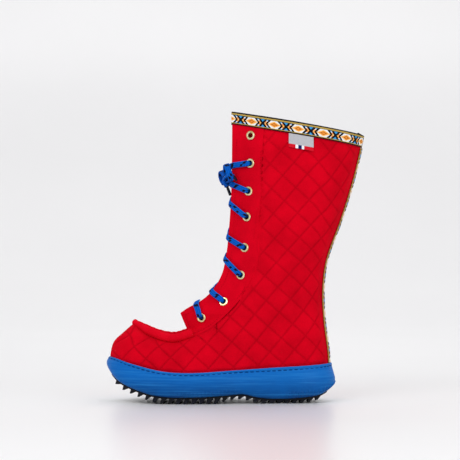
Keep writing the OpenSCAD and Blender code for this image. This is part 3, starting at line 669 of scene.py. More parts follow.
def woven_ribbon_material(name):
    """Jacquard ribbon: uv is millimetres along it from a diamond's middle, and across it from its middle."""
    n = Nodes(name, 0.8, Sheen_Weight=0.03, Specular_IOR_Level=0.1)
    thread = 0.42
    u, v, _ = n.split(n.uv)
    along, across = n.math("SNAP", u, thread), n.math("SNAP", v, thread)
    part = n.math("FRACT", n.math("ADD", n.math("DIVIDE", along, RIBBON_REPEAT), 0.5))
    dx = n.math("MULTIPLY", n.math("ABSOLUTE", n.math("SUBTRACT", part, 0.5)), RIBBON_REPEAT)
    dy = n.math("ABSOLUTE", across)
    chevron = n.math("ADD", dx, n.math("MULTIPLY", dy, 0.87))
    white, black = linear(238, 240, 244), linear(14, 12, 18)
    blue, gold = linear(58, 160, 226), linear(186, 156, 78)
    lane_start, lane_end, border_start = 10.9, 12.7, 4.35

    def striped(distance, reach, stops):
        """Colours that start at distances in millimetres, up to the reach."""
        return n.ramp(n.math("DIVIDE", distance, reach), [(at / reach, c) for at, c in stops])

    colour = striped(chevron, 20, [(0, white), (8.0, black), (lane_start, white), (lane_end, black),
                                   (16.0, blue)])
    lane_colour = striped(dy, 6, [(0, linear(255, 186, 92)), (1.0, linear(248, 142, 52)), (2.1, white),
                                  (3.4, blue)])
    inside = n.math("MULTIPLY", n.math("GREATER_THAN", chevron, lane_start),
                    n.math("LESS_THAN", chevron, lane_end))
    colour = n.mix(inside, colour, lane_colour)
    diamond = n.math("ADD", n.math("DIVIDE", dx, 8.3), n.math("DIVIDE", dy, 3.7))
    core = n.ramp(diamond, [(0, linear(250, 150, 56)), (0.3, linear(150, 84, 28)),
                            (0.5, linear(250, 160, 66)), (0.8, linear(255, 206, 120))])
    colour = n.mix(n.math("LESS_THAN", diamond, 1.0), colour, core)
    lower = striped(dy, 8, [(0, black), (border_start, gold), (5.25, black)])
    upper = striped(dy, 8, [(0, black), (4.7, gold), (6.35, black)])
    border = n.mix(n.math("GREATER_THAN", across, 0), lower, upper)
    colour = n.mix(n.math("GREATER_THAN", dy, border_start), colour, border)
    warp = n.math("SINE", n.math("MULTIPLY", u, 2 * math.pi / thread))
    weft = n.math("SINE", n.math("MULTIPLY", v, math.pi / thread))
    return n.finish(colour, n.bump(n.math("MULTIPLY", warp, weft), 0.00012, 0.6))


def label_material(name):
    """Grey satin label with red, white and navy stripes at its lower end; uv runs 0 to 1 both ways."""
    n = Nodes(name, 0.7, Sheen_Weight=0.04, Specular_IOR_Level=0.15)
    across, down, _ = n.split(n.uv)
    red, white, navy = linear(208, 4, 32), linear(240, 240, 244), linear(10, 22, 92)
    stripes = [(0, red), (0.27, white), (0.38, navy), (0.52, white), (0.62, red)]
    grey = n.mix(n.noise(500, 3), linear(172, 172, 178), linear(196, 196, 200))
    colour = n.mix(n.math("GREATER_THAN", down, 0.74), grey, n.ramp(across, stripes))
    threads = n.math("SINE", n.math("MULTIPLY", down, 160))
    cross = n.math("SINE", n.math("MULTIPLY", across, 260))
    return n.finish(colour, n.bump(n.math("MULTIPLY", threads, cross), 0.00012, 0.6))


RED, RED_DARK = linear(217, 2, 29), linear(190, 1, 23)
quilted_felt = felt_material("quilted_felt", RED, RED_DARK, painted_crease_shade="painted_crease_shade")
facing_felt = felt_material("facing_felt", linear(219, 2, 30), linear(192, 1, 24))
# The roll's felt is a lighter copy of the red felt: painted light, so the rounded roll reads as bright as the
# panels.
lightened_roll_felt = felt_material("lightened_roll_felt", linear(228, 8, 36), linear(206, 4, 28), fuzz=1.6, sheen=0.15)
lining_pile = pile_material("lining_pile", linear(226, 220, 208), linear(184, 176, 162))
insole_pile = pile_material("insole_pile", linear(206, 204, 200), linear(168, 166, 162), 560)
red_thread = thread_material("red_thread", linear(196, 2, 26), linear(166, 1, 20))
blue_thread = thread_material("blue_thread", linear(6, 70, 140), linear(2, 44, 100))
brass = brass_material("brass")
sole_rubber = sole_material("sole_rubber")
tread_rubber = rubber_material("tread_rubber", linear(2, 6, 26), linear(0, 1, 8))
lace_cord = lace_material("lace_cord")
lace_tip = rubber_material("lace_tip", linear(14, 16, 46), linear(4, 6, 22), 0.25)
woven_ribbon = woven_ribbon_material("woven_ribbon")
label_cloth = label_material("label_cloth")
foam = rubber_material("foam", linear(222, 222, 218), linear(196, 196, 190), 0.9)
board = rubber_material("board", linear(190, 156, 112), linear(160, 126, 84), 0.85)

# ------------------------------------------------------------------ lacing

LACE_OVER = LACE_D / 2 + 0.7
LACE_UNDER = EYELET_BARREL + LACE_D / 2 + 0.4
EYELET_SHIFT = 1.3
GATHERED_HALF, GATHERED_THICK = 2.0, 1.3
KNOT_SHARE, TIP_SHARE = 0.62, 0.5
INSIDE_DEPTH = 4.6
# How far each strand climbs before it crosses the front edge, by eyelet
OVER_RISES = {2: 8.5, 3: 15, 4: 11.5, 5: 18, 6: 11.5}
KNOT = np.array([-10.5, 0, 259])

outer_loop_route = [(-10.5, -4, 262), (-11.5, -9, 270), (-11.5, -15, 277), (-10.5, -22, 278), (-9, -28, 273),
                    (-7, -30, 267), (-5.5, -26, 261.5), (-6, -19, 259), (-8, -11, 258.5), (-10, -4.5, 258.5)]
inner_loop_route = [(-11.5, 4, 262), (-13.5, 10, 267), (-15.5, 17, 271), (-17, 24, 271.5), (-17.5, 29, 267),
                    (-16, 30, 261), (-14, 26, 257.5), (-13, 19, 256.5), (-12, 11, 257), (-11, 4.5, 258.5)]
outer_end_route = [(-10.5, -4, 260), (-13.5, -11.5, 261.5), (-12, -19.5, 264), (-8, -24.5, 266),
                   (-4.6, -24, 267), (-2.6, -20.4, 265.6)]
inner_end_route = [(-11, 4, 258), (-14, 10, 259), (-15.5, 17.5, 258.5), (-15, 24, 257), (-12.5, 23.5, 254.5),
                   (-9.9, 17.2, 254.2)]


def in_eyelet(side, k, depth, towards=None):
    """A point at a depth in an eyelet, off its middle towards a place, with its outward direction."""
    x, z = eyelet_spots[k]
    n = outward(side, x, z)
    point = skin(side, x, z, 0) - depth * n
    if towards is not None:
        way = np.array(towards, float) - (x, z)
        way *= EYELET_SHIFT / np.linalg.norm(way)
        point = point + [way[0], 0, way[1]]
    return point, n


def ahead_of_edge(z, y, ahead):
    """A point ahead of the front edge, facing forwards."""
    t = unit([float(front_x(z + 2) - front_x(z - 2)), 4])
    n = np.array([-t[1], 0.35 * np.sign(y) if abs(y) > 4 else 0, t[0]])
    return np.array([front_x(z) - ahead * t[1], y, z + ahead * t[0]]), unit(n)


def on_facing(side, a, b, t, depth):
    x, z = lerp(np.array(a, float), np.array(b, float), t)
    n = outward(side, x, z)
    return np.array([x, side * half_at(x, z), z]) - depth * n, n


def strand(side, k, lift):
    """From eyelet k over the front to the inside and up through the next eyelet across."""
    spot, following = eyelet_spots[k], eyelet_spots[k - 1]
    over_z = spot[1] + OVER_RISES[k]
    under_z = over_z + min(12, 0.55 * (following[1] - over_z))
    over, under = (front_x(over_z), over_z), (front_x(under_z), under_z)
    return [
        in_eyelet(side, k, 1.6, over),
        in_eyelet(side, k, -1.2, over),
        on_facing(side, spot, over, 0.16, -LACE_OVER - 1.2),
        on_facing(side, spot, over, 0.42, -LACE_OVER - 0.6),
        on_facing(side, spot, over, 0.8, -LACE_OVER),
        ahead_of_edge(over_z + 1, side * (GAP_HALF - 0.8), 1.3),
        ahead_of_edge(over_z + 2.5, side * GAP_HALF * 0.6, lift + 0.3),
        ahead_of_edge((over_z + under_z) / 2, 0, lift),
        ahead_of_edge(under_z - 1.5, -side * GAP_HALF * 0.35, lift - 1.2),
        ahead_of_edge(under_z, -side * (GAP_HALF - 5), -INSIDE_DEPTH),
        on_facing(-side, under, following, 0.3, LACE_UNDER - 0.6),
        on_facing(-side, under, following, 0.75, LACE_UNDER),
        in_eyelet(-side, k - 1, LACE_UNDER - 0.1),
        in_eyelet(-side, k - 1, 3.6),
    ]


def hidden_strand(side, k, lift):
    """From eyelet k straight across the inside to the next eyelet of the other side."""
    a, b = eyelet_spots[k], eyelet_spots[k - 1]
    za, zb = a[1] + 12, b[1] + 4
    return [
        in_eyelet(side, k, 3.6),
        in_eyelet(side, k, LACE_UNDER - 0.1),
        on_facing(side, a, (front_x(za), za), 0.5, LACE_UNDER + 0.2),
        ahead_of_edge(za + 3, side * 6, lift - INSIDE_DEPTH),
        ahead_of_edge((za + zb) / 2, 0, lift - INSIDE_DEPTH),
        ahead_of_edge(zb - 1, -side * 6, lift - INSIDE_DEPTH),
        on_facing(-side, (front_x(zb), zb), b, 0.5, LACE_UNDER + 0.2),
        in_eyelet(-side, k - 1, LACE_UNDER - 0.1),
        in_eyelet(-side, k - 1, 3.6),
    ]


def knot_strand(side):
    """From the highest laced eyelet to the knot."""
    spot = eyelet_spots[1]
    over = (front_x(spot[1] - 2.5), spot[1] - 2.5)
    return [
        in_eyelet(side, 1, 1.6, over),
        in_eyelet(side, 1, -1.2, over),
        on_facing(side, spot, over, 0.16, -LACE_OVER - 1.2),
        on_facing(side, spot, over, 0.5, -LACE_OVER - 0.6),
        on_facing(side, spot, over, 0.85, -LACE_OVER),
        ahead_of_edge(over[1] - 1.5, side * (GAP_HALF - 1), LACE_OVER + 0.6),
        ahead_of_edge(over[1] - 5, side * 7, 4.5),
        (KNOT + [1.5, side * 3.2, 4.2], unit([-1, side * 0.5, 0.6])),
    ]


def bar_strand():
    """Over the front between the two lowest eyelets."""
    k = len(eyelet_spots) - 1
    spot = eyelet_spots[k]
    over = (front_x(115), 115)
    half = [
        in_eyelet(OUTER, k, 1.8, over),
        in_eyelet(OUTER, k, -1.4, over),
        on_facing(OUTER, spot, over, 0.2, -LACE_OVER - 1.5),
        on_facing(OUTER, spot, over, 0.55, -LACE_OVER - 0.8),
        on_facing(OUTER, spot, over, 0.85, -LACE_OVER - 0.6),
        ahead_of_edge(over[1] + 1, -(GAP_HALF - 2), 1.6),
    ]
    flip = np.array([1, -1, 1])
    mirrored = [(p * flip, n * flip) for p, n in reversed(half)]
    return half + [ahead_of_edge(over[1] + 1.5, 0, 1.4)] + mirrored


def flat_lace(stations, steps, gather, start):
    """A flat lace through stations of (point, up), narrowed where it passes an eyelet."""
    points = np.array([p for p, _ in stations])
    ups = np.array([n for _, n in stations])
    t = np.linspace(0, 1, steps)
    path = spline(points, t)
    up = unit(spline(ups, t))
    from_end = np.minimum(t, 1 - t if gather == "both" else 2.0)
    open_up = smooth((from_end * (len(stations) - 1) - 0.5) / 1.3)
    half_w = lerp(GATHERED_HALF, LACE_HALF, open_up)
    half_h = lerp(GATHERED_THICK, LACE_THICK, open_up)
    body, faces, uv = swept(path, up, half_w, half_h)
    return body, faces, uv + [start, 0]


def add_lace(name, node, points, faces, uv):
    piece = add_piece(name, points, faces, lace_cord, "lace_cord", uv=uv)
    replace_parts(piece, node)
    return piece


for side, word in SIDES:
    lift = 0.5 if side == OUTER else -1.9
    runs = [flat_lace(strand(side, k, lift), 110, "both", start=31.0 * k) for k in range(6, 1, -1)]
    run = hidden_strand(side, 7, 1.6 if side == OUTER else -1.6)
    runs.append(flat_lace(run, 70, "both", start=7))
    runs.append(flat_lace(knot_strand(side), 70, "start", start=4))
    add_lace(f"{word}_flat_lacing", f"{word}_lace_strands", *joined(runs))

add_lace("flat_lace_bar", "lace_bar", *flat_lace(bar_strand(), 110, "both", start=9))


def loop_ups(route, twist):
    """Directions square to a loop's face, turned a little along it."""
    route = np.array(route)
    middle = route.mean(0)
    out = unit(route - middle)
    turn_by = np.radians(twist) * np.sin(np.linspace(0, np.pi, len(route)))[:, None]
    return unit(out * np.cos(turn_by) + np.array([-1, 0, 0.2]) * np.sin(turn_by))


def free_lace(name, node, route, ups, fitting=None, half_w=LACE_HALF):
    """A loop back to the knot, or an end that runs to its fitting."""
    t = np.linspace(0, 1, 80)
    path = spline(route, t)
    last_share = TIP_SHARE if fitting else KNOT_SHARE
    wide = lerp(KNOT_SHARE, 1, smooth(t * 7)) * lerp(last_share, 1, smooth((1 - t) * 7))
    half_h = lerp(GATHERED_THICK, LACE_THICK, wide)
    piece = add_lace(name, node, *swept(path, unit(spline(ups, t)), half_w * wide, half_h))


def lace_tip_piece(name, node, start, end):
    """A crimped plastic tip round a lace's end."""
    t = np.linspace(0, 1, 40)
    path = lerp(np.array(start, float), np.array(end, float), t[:, None])
    path[:, 2] -= 0.6 * t * (1 - t)
    crimp = 1 - 0.1 * np.exp(-((t - 0.18) / 0.035) ** 2) - 0.1 * np.exp(-((t - 0.3) / 0.035) ** 2)
    size = crimp * np.sqrt(np.clip(1 - (np.abs(t - 0.5) / 0.5) ** 14, 0.05, 1))
    ups = np.tile([-0.3, -0.7, 0.9], (len(t), 1))
    body, faces, uv = swept(path, ups, 1.75 * size, 1.35 * size, flatness=0.8)
    tip = add_piece(name, body, faces, lace_tip, "lace_tip", uv=uv)
    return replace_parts(tip, node)


free_lace("outer_loop", "outer_bow_loop", outer_loop_route, loop_ups(outer_loop_route, 8))
free_lace("inner_loop", "inner_bow_loop", inner_loop_route, loop_ups(inner_loop_route, 12))
outer_tip = lace_tip_piece("outer_lace_tip", "outer_aglet", (-3.2, -21.2, 266.2), (1.4, -17.6, 259.5))
inner_tip = lace_tip_piece("inner_lace_tip", "inner_aglet", (-10.5, 18.1, 255), (-5.9, 13.6, 242.5))
end_ups = [(-0.8, -0.4, 0.6), (-0.7, -0.7, 0.6), (-0.5, -0.8, 0.6), (-0.4, -0.8, 0.6), (-0.3, -0.8, 0.7),
           (-0.3, -0.7, 0.8)]
free_lace("outer_end", "outer_lace_end", outer_end_route, end_ups, outer_tip, half_w=2.6)
end_ups = [(-1, 0.4, 0.3), (-0.9, 0.4, 0.5), (-0.9, 0.5, 0.4), (-1, 0.5, 0.3), (-1, 0.4, 0.2), (-1, 0.4, 0.2)]
free_lace("inner_end", "inner_lace_end", inner_end_route, end_ups, inner_tip, half_w=2.5)


def knot_wrap(tilt, radius, width, start):
    """One turn of lace round the knot, as a closed band."""
    count, sides = 60, 18
    a, b = angles(count), angles(sides)
    ring = np.stack([np.cos(a) * radius * 0.82, np.sin(a) * radius * 0.5, np.sin(a) * radius], -1)
    c, s = math.cos(math.radians(tilt)), math.sin(math.radians(tilt))
    spin = np.array([[c, -s, 0], [s, c, 0], [0, 0, 1]])
    path = ring @ spin.T
    out = unit(path)
    tangent = unit(np.roll(path, -1, 0) - np.roll(path, 1, 0))
    across = np.cross(tangent, out)
    w, h = rounded(np.cos(b), 0.55), np.sin(b) * 0.9
    rings = path[:, None] + across[:, None] * w[:, None] * width + out[:, None] * h[:, None] + KNOT
    faces = [[k % (count * sides) for k in face] for face in grid_faces(count + 1, sides, wrap=True)]
    uv = np.stack([np.repeat(a * radius + start, sides), np.tile(w, count)], -1)
    return rings.reshape(-1, 3), faces, uv


wraps = [knot_wrap(20, 5.2, 3.3, 3), knot_wrap(100, 4.6, 3.0, 22), knot_wrap(-45, 4.3, 3.1, 41)]
add_lace("knot_turns", "bow_knot", *joined(wraps))

# ------------------------------------------------------------------ quilting

# The two families of quilting lines: slope in degrees, spacing and offset
QUILT_LINES = ((-41, 20.4, 11.0), (49, 20.5, 10.0))
QUILT_PUFF = 1.2
CHANNEL_DEPTH, CHANNEL_WIDTH = 0.5, 0.95
PANEL_ROWS, PANEL_COLS = 190, 340
LINING_ROWS, LINING_COLS = 90, 170
TABLE_STEP = 1.5
TABLE_X = np.arange(-150, 153, TABLE_STEP)
TABLE_Z = np.arange(24, 345, TABLE_STEP)


def surplus(y, axis):
    """How much longer the surface is than its side view, summed along one axis."""
    slope = np.clip(np.gradient(y, TABLE_STEP, axis=axis), -1.8, 1.8)
    calm_toe = smooth((TABLE_X + 125) / 60)
    return np.cumsum((np.sqrt(1 + slope**2) - 1) * calm_toe, axis=axis) * TABLE_STEP


def blurred(table, rounds=24):
    """A table smoothed over its neighbours, with its border kept."""
    for _ in range(rounds):
        for view in (table, table.T):
            view[1:-1] = 0.25 * view[2:] + 0.5 * view[1:-1] + 0.25 * view[:-2]
    return table


table_y = half_at(TABLE_X[None, :], TABLE_Z[:, None])
shaft_widest = lerp(front_x(TABLE_Z), back_x(TABLE_Z), WIDEST_SHARE)
widest_x = lerp(-20, shaft_widest, smooth((TABLE_Z - 70) / 90))
surplus_x = surplus(table_y, 1)
surplus_x -= np.array([np.interp(x, TABLE_X, row) for x, row in zip(widest_x, surplus_x)])[:, None]
surplus_z = surplus(table_y, 0)
surplus_z -= surplus_z[int(np.searchsorted(TABLE_Z, 55))][None, :]
surplus_x, surplus_z = blurred(surplus_x), blurred(surplus_z)


def looked_up(table, x, z):
    """Values of a table between its places."""
    i = np.clip((x - TABLE_X[0]) / TABLE_STEP, 0, len(TABLE_X) - 1.001)
    j = np.clip((z - TABLE_Z[0]) / TABLE_STEP, 0, len(TABLE_Z) - 1.001)
    i0, j0 = i.astype(int), j.astype(int)
    u, v = i - i0, j - j0
    low = lerp(table[j0, i0], table[j0, i0 + 1], u)
    return lerp(low, lerp(table[j0 + 1, i0], table[j0 + 1, i0 + 1], u), v)


def quilt_coordinates(x, z):
    """Place across each family of quilting lines, in spacings; lines lie at whole numbers."""
    u = x + looked_up(surplus_x, x, z)
    v = z + looked_up(surplus_z, x, z) * 0.5
    wander = 0.5 * np.sin(x / 31 + z / 47) + 0.4 * np.sin(z / 23 - x / 61)
    return [(-math.sin(math.radians(a)) * u + math.cos(math.radians(a)) * v + wander - offset) / spacing
            for a, spacing, offset in QUILT_LINES]


def quilt_height(x, z):
    """Height of the quilted felt above its plain surface, and how close each point is to a line."""
    places = quilt_coordinates(x, z)
    near = [np.abs(place - np.round(place)) * QUILT_LINES[0][1] for place in places]
    dome = np.abs(np.sin(np.pi * places[0]) * np.sin(np.pi * places[1])) ** 0.55
    channel = np.exp(-(np.minimum(*near) / CHANNEL_WIDTH) ** 2)
    return QUILT_PUFF * dome - CHANNEL_DEPTH * channel, channel


def panel_margin(x, z):
    """Distance from a panel's sewn edges, roughly, in the side view."""
    outside = ((z > 93) & (x < seam_x(z))) | ((x < FOOT_FRONT) & (z > foot_top(x)))
    to_seam = np.full(np.broadcast(x, z).shape, 99.0)
    for a, b in spline(seam_points, np.linspace(0, 1, 160)):
        to_seam = np.minimum(to_seam, np.hypot(x - a, z - b))
    to_seam = np.where(outside, -to_seam, to_seam)
    to_rim = rim_z(x) - BAND_HEIGHT - z
    to_sole = z - level(x, 1)
    to_back = back_x(z) - 4 - x
    to_toe = np.where(x < -100, np.minimum(x - toe_front(z), crown_z(x) - z), 30)
    return np.minimum.reduce(np.broadcast_arrays(to_seam, to_rim, to_sole, to_back, to_toe))


# ------------------------------------------------------------------ side panels

RIM_END_X = float(back_x(rim_z(150)))
TOE_SHARE, SEAM_SHARE = 0.3, 0.74


def top_edge(seam, s):
    bend = 5 / (len(seam) - 1)
    rim_x = lerp(seam[-1][0], RIM_END_X, (s - SEAM_SHARE) / (1 - SEAM_SHARE))
    rim = np.stack([rim_x, rim_z(rim_x) - GAP], -1)
    toe = spline(seam, bend * s / TOE_SHARE)
    shaft = spline(seam, lerp(bend, 1, np.clip((s - TOE_SHARE) / (SEAM_SHARE - TOE_SHARE), 0, 1)))
    return np.where((s < TOE_SHARE)[..., None], toe, np.where((s < SEAM_SHARE)[..., None], shaft, rim))


def low_edge(s):
    x = lerp(TOE_X, HEEL_X, s)
    return np.stack([x, level(x, UPPER_LOW)], -1)


def back_edge(t):
    z = lerp(float(level(HEEL_X, UPPER_LOW)), float(rim_z(RIM_END_X)) - GAP, t)
    return np.stack([np.where(t == 1, RIM_END_X, back_x(z)), z], -1)


def panel_places(toe, seam, rows, cols):
    """Side-view places of a panel's grid, and which of them lie on a seam."""
    c = np.arange(cols + 1) / cols
    s = lerp(c, (1 - np.cos(np.pi * c)) / 2, 0.6)[None, :]
    t = (np.arange(rows + 1) / rows)[:, None]
    low, top = low_edge(s), top_edge(seam, s)
    left = np.where((t == 0)[..., None], low_edge(np.zeros(1)), spline(toe, t))
    right = back_edge(t)
    s3, t3 = s[..., None], t[..., None]
    corners = (1 - s3) * (1 - t3) * low_edge(np.zeros(1)) + s3 * (1 - t3) * low_edge(np.ones(1))
    corners = corners + (1 - s3) * t3 * np.array(seam[0]) + s3 * t3 * back_edge(np.ones(1))
    places = lerp(low, top, t3) + lerp(left, right, s3) - corners
    on_seam = np.broadcast_to((s == 0) | (s == 1), places.shape[:2])
    return places[..., 0], places[..., 1], on_seam


def stiffened(x, z):
    heel = smooth((x - 22) / 16) * smooth((118 - z) / 16)
    return np.maximum(heel, smooth((-78 - x) / 14) * smooth((84 - z) / 8))


x, z, on_seam = panel_places(toe_points, seam_points, PANEL_ROWS, PANEL_COLS)
height, channel = quilt_height(x, z)
margin = panel_margin(x, z)
fade = smooth(margin / 5)
# Mask of painted shade along the quilting channels, kept off the panel's edges
crease_shade_mask = channel * smooth(margin / 2)
edge_roll = 0.5 * (1 - smooth(margin / 2.5)) * (margin > -2)
ripple = 0.25 * np.sin(x / 17 + 0.6 * np.sin(z / 29)) * np.sin(z / 21 + 1)
for side, word in SIDES:
    top = skin(side, x, z, -(height + ripple) * fade + edge_roll, on_seam)
    under = skin(side, x, z, FELT, on_seam)
    panel = add_shell(f"{word}_quilted_panel", top, under, quilted_felt, "quilted_felt",
                      values={"painted_crease_shade": crease_shade_mask})
    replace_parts(panel, f"{word}_side_panel")


def quilt_stitches(side):
    """Thread along every quilting line of one panel."""
    rows = []
    xs = np.arange(-150, 152, 0.9)
    zs = np.arange(30, 342, 1.0)
    for field in quilt_coordinates(*np.meshgrid(xs, zs)):
        for k in range(int(math.floor(field.min())) + 1, int(math.ceil(field.max()))):
            line_z = np.array([np.interp(k, column, zs, left=np.nan, right=np.nan) for column in field.T])
            good = ~np.isnan(line_z)
            good[good] = panel_margin(xs[good], line_z[good]) > 3
            for run in np.split(np.arange(len(xs)), np.flatnonzero(np.diff(good.astype(int))) + 1):
                if not good[run[0]] or len(run) < 5:
                    continue
                lx, lz = xs[run], line_z[run]
                rows.append(surface_stitches(side, lx, lz, -quilt_height(lx, lz)[0], QUILT_PITCH))
    return rows


for side, word in SIDES:
    add_stitches(f"{word}_quilting_thread", quilt_stitches(side), red_thread, "quilted_felt")

# ------------------------------------------------------------------ facings

FACING_START = 3.25 / (len(seam_points) - 1)
SEAM_CLEARANCE = 0.5
EDGE_STITCH_INSET, SEAM_STITCH_INSET = 6.4, 3.0
CUTTER_SIDES = 24


def edge_at(t):
    z = np.interp(t * (len(edge_heights) - 1), np.arange(len(edge_heights)), edge_heights)
    x = front_x(z)
    return np.stack([x, np.minimum(z, rim_z(x) - GAP)], -1)


def facing_place(t, u):
    a = edge_at(t)
    b = spline(seam_points, lerp(FACING_START, 1, t))
    full = np.linalg.norm(b - a, axis=-1, keepdims=True)
    p = lerp(a, b, u[..., None] * (1 - SEAM_CLEARANCE / full))
    return p[..., 0], p[..., 1]


def eyelet_cutter(side):
    """Round plugs through every eyelet spot."""
    parts = []
    for spot in eyelet_spots:
        n = outward(side, *spot)
        across = unit(np.cross(n, [0, 0, 1]))
        up = np.cross(n, across)
        a = angles(CUTTER_SIDES)
        ring = (across * np.cos(a)[:, None] + up * np.sin(a)[:, None]) * (EYELET_BORE / 2 + 1)
        centre = skin(side, *spot, 0)
        points = np.concatenate([centre + n * 6 + ring, centre - n * 9 + ring])
        faces = grid_faces(2, CUTTER_SIDES, wrap=True) + end_caps(2, CUTTER_SIDES)
        parts.append((points, faces, np.zeros((len(points), 2))))
    points, faces, _ = joined(parts)
    return add_piece("cutter", points, faces, facing_felt, "facing_felt")


def cut_holes(obj, cutter):
    """Cuts the cutter out of obj and removes it."""
    modifier = obj.modifiers.new("holes", "BOOLEAN")
    modifier.operation = "DIFFERENCE"
    modifier.object = cutter
    modifier.solver = "EXACT"
    bpy.context.view_layer.update()
    cut = bpy.data.meshes.new_from_object(obj.evaluated_get(bpy.context.evaluated_depsgraph_get()))
    obj.modifiers.remove(modifier)
    obj.data = cut
    bpy.data.objects.remove(cutter)


t, u = grid_places(221, 37)
x, z = facing_place(t, u)
from_edge = np.hypot(x - facing_place(t, u * 0)[0], z - facing_place(t, u * 0)[1])
from_seam = np.hypot(x - facing_place(t, u * 0 + 1)[0], z - facing_place(t, u * 0 + 1)[1])
lips = 0.45 * np.exp(-(from_edge / 1.2) ** 2) + 0.5 * np.exp(-(from_seam / 1.5) ** 2)
groove = 0.3 * np.exp(-((from_edge - EDGE_STITCH_INSET) / 0.9) ** 2)
groove += 0.3 * np.exp(-((from_seam - SEAM_STITCH_INSET) / 0.9) ** 2)
pulled = sum(0.35 * np.exp(-(np.hypot(x - a, z - b) / 7) ** 2) for a, b in eyelet_spots)
waves = 0.3 * np.sin(z / 13 + x / 19) * smooth(from_edge / 8)
for side, word in SIDES:
    top = skin(side, x, z, lips + groove + pulled - waves)
    facing = add_shell(f"{word}_felt_facing", top, skin(side, x, z, FELT), facing_felt, "facing_felt")
    cut_holes(facing, eyelet_cutter(side))
    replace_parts(facing, f"{word}_facing")
    steps = np.linspace(0.02, 0.955, 420)
    a, b = (np.stack(facing_place(steps, np.full(len(steps), end)), -1) for end in (0.0, 1.0))
    full = np.linalg.norm(b - a, axis=-1, keepdims=True)
    lines = [a + (b - a) * share for share in (EDGE_STITCH_INSET / full, 1 - SEAM_STITCH_INSET / full)]
    rows = [surface_stitches(side, *line.T) for line in lines]
    add_stitches(f"{word}_facing_stitching", rows, red_thread, "facing_felt")

# ------------------------------------------------------------------ rolls, plug, tongue, lining

ROLL_END = 3.32 / (len(seam_points) - 1)
ROLL_SIDES = 40
ROLL_THIN, ROLL_THICK = 2.9, 4.1
PLUG_START, PLUG_END = 0.12 / (len(seam_points) - 1), 2.9 / (len(seam_points) - 1)
TONGUE_HALF = 20
TONGUE_RIBS = 11


def rounded_start(t, length):
    """Size of a round-ended bar at a share of its length."""
    return np.sqrt(np.clip(1 - (1 - np.clip(t / length, 0, 1)) ** 2, 0.02, 1))


def roll_radius(t):
    return lerp(ROLL_THIN, ROLL_THICK, smooth(t * 3.2))


def roll_place(side, t):
    """Middle of the padded roll along the seam, and how much taller than wide it is."""
    p = spline(seam_points, t * ROLL_END)
    r = roll_radius(t)
    x = p[..., 0] - 1.2 * (1 - smooth(t * 4))
    y = side * np.maximum(r + SLIT, half_at(p[..., 0], p[..., 1]) - 1) + turn(x)
    tall = lerp(1.1, 1.22, smooth(t * 4)) * r
    return np.stack([x, y, p[..., 1] + tall - 0.5], -1), tall / r


t = np.linspace(0, 1, 170)
for side, word in SIDES:
    path, tall = roll_place(side, t)
    _, across, up = frames(path, np.tile([0, 0, 1.0], (len(t), 1)))
    a = angles(ROLL_SIDES)
    wrinkle = 1 + 0.035 * np.sin(t * 150 + 2 * np.sin(t * 40))[:, None] * np.cos(a - 0.4)
    wrinkle += 0.03 * np.sin(t * 61)[:, None]
    radius = (roll_radius(t) * rounded_start(t, 0.03) * rounded_start(1 - t, 0.012))[:, None] * wrinkle
    w, h = np.cos(a) * radius, np.sin(a) * radius * tall[:, None]
    rings = path[:, None] + across[:, None] * w[..., None] + up[:, None] * h[..., None]
    faces = grid_faces(len(t), ROLL_SIDES, wrap=True) + end_caps(len(t), ROLL_SIDES)
    roll = add_piece(f"{word}_padded_roll", rings.reshape(-1, 3), faces, lightened_roll_felt, "facing_felt")
    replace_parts(roll, f"{word}_toe_roll")
    seam = spline(seam_points, lerp(0.01, ROLL_END - 0.01, t))
    row = surface_stitches(side, seam[:, 0], seam[:, 1] - 2.2)
    add_stitches(f"{word}_roll_stitching", [row], red_thread, "facing_felt")

r, v = grid_places(90, 61, -1)
p = spline(seam_points, lerp(PLUG_START, PLUG_END, r))
half = np.maximum(0.4, half_at(p[..., 0], p[..., 1]) - lerp(1.5, 4.4, smooth(r * 3)))
crown = np.minimum(5, 0.22 * half) * (1 - v * v)
slack = 0.5 * np.sin(p[..., 0] / 6.5 + 2 * v) * (1 - v * v)
top = np.stack([p[..., 0], half * v + turn(p[..., 0]), p[..., 1] + 0.6 + crown + slack], -1)
plug = add_shell("felt_vamp_plug", top, top - [0, 0, FELT], facing_felt, "facing_felt")
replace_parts(plug, "vamp_plug")


def tongue_spot(t, v, depth):
    """Points of the tongue, t up it and v across it."""
    p = spline(tongue_points, t)
    ahead, behind = (spline(tongue_points, np.clip(t + step, 0, 1)) for step in (0.01, -0.01))
    along = unit(ahead - behind)
    inward = np.stack([along[..., 1], -along[..., 0]], -1)
    y = lerp(14, TONGUE_HALF, smooth(t * 4)) * v
    wrap = np.clip((np.abs(y) + 6 - GAP_HALF) / 29, 0, 1)
    q = p + inward * (80 * np.degrees(np.arcsin(wrap)) / 90 + depth)[..., None]
    return np.stack([q[..., 0], y, q[..., 1]], -1)


t, v = grid_places(200, 61, -1)
rib = np.abs(np.sin(np.pi * (t * TONGUE_RIBS + np.abs(v) * 0.5))) ** 0.5
rim = np.minimum(smooth((1 - np.abs(v)) / 0.1), smooth(np.minimum(t, 1 - t) / 0.02))
puff = (0.55 * rib + 0.25) * rim - 0.35 * (1 - rim)
# The tongue's mask paints shade into the hollows between its padded ribs.
tongue = add_shell("padded_tongue", tongue_spot(t, v, -puff), tongue_spot(t, v, 3 + 0.4 * puff), quilted_felt,
                   "quilted_felt", body="tongue", values={"painted_crease_shade": (1 - rib) * rim * 0.5})
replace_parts(tongue, "tongue")

x, z, on_seam = panel_places(lining_toe_points, lining_seam_points, LINING_ROWS, LINING_COLS)
tufts = 0.18 * rng.standard_normal(x.shape)
for side, word in SIDES:
    thick = stiffened(x, z)
    top = skin(side, x, z, LINING_TOP + (STIFFENER + 0.2) * thick, on_seam)
    under = skin(side, x, z, LINING_BASE + 1.6 * thick + tufts, on_seam)
    lining = add_shell(f"{word}_pile_lining", top, under, lining_pile, "lining_felt")
    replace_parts(lining, f"{word}_lining")

# ------------------------------------------------------------------ ribbons and label


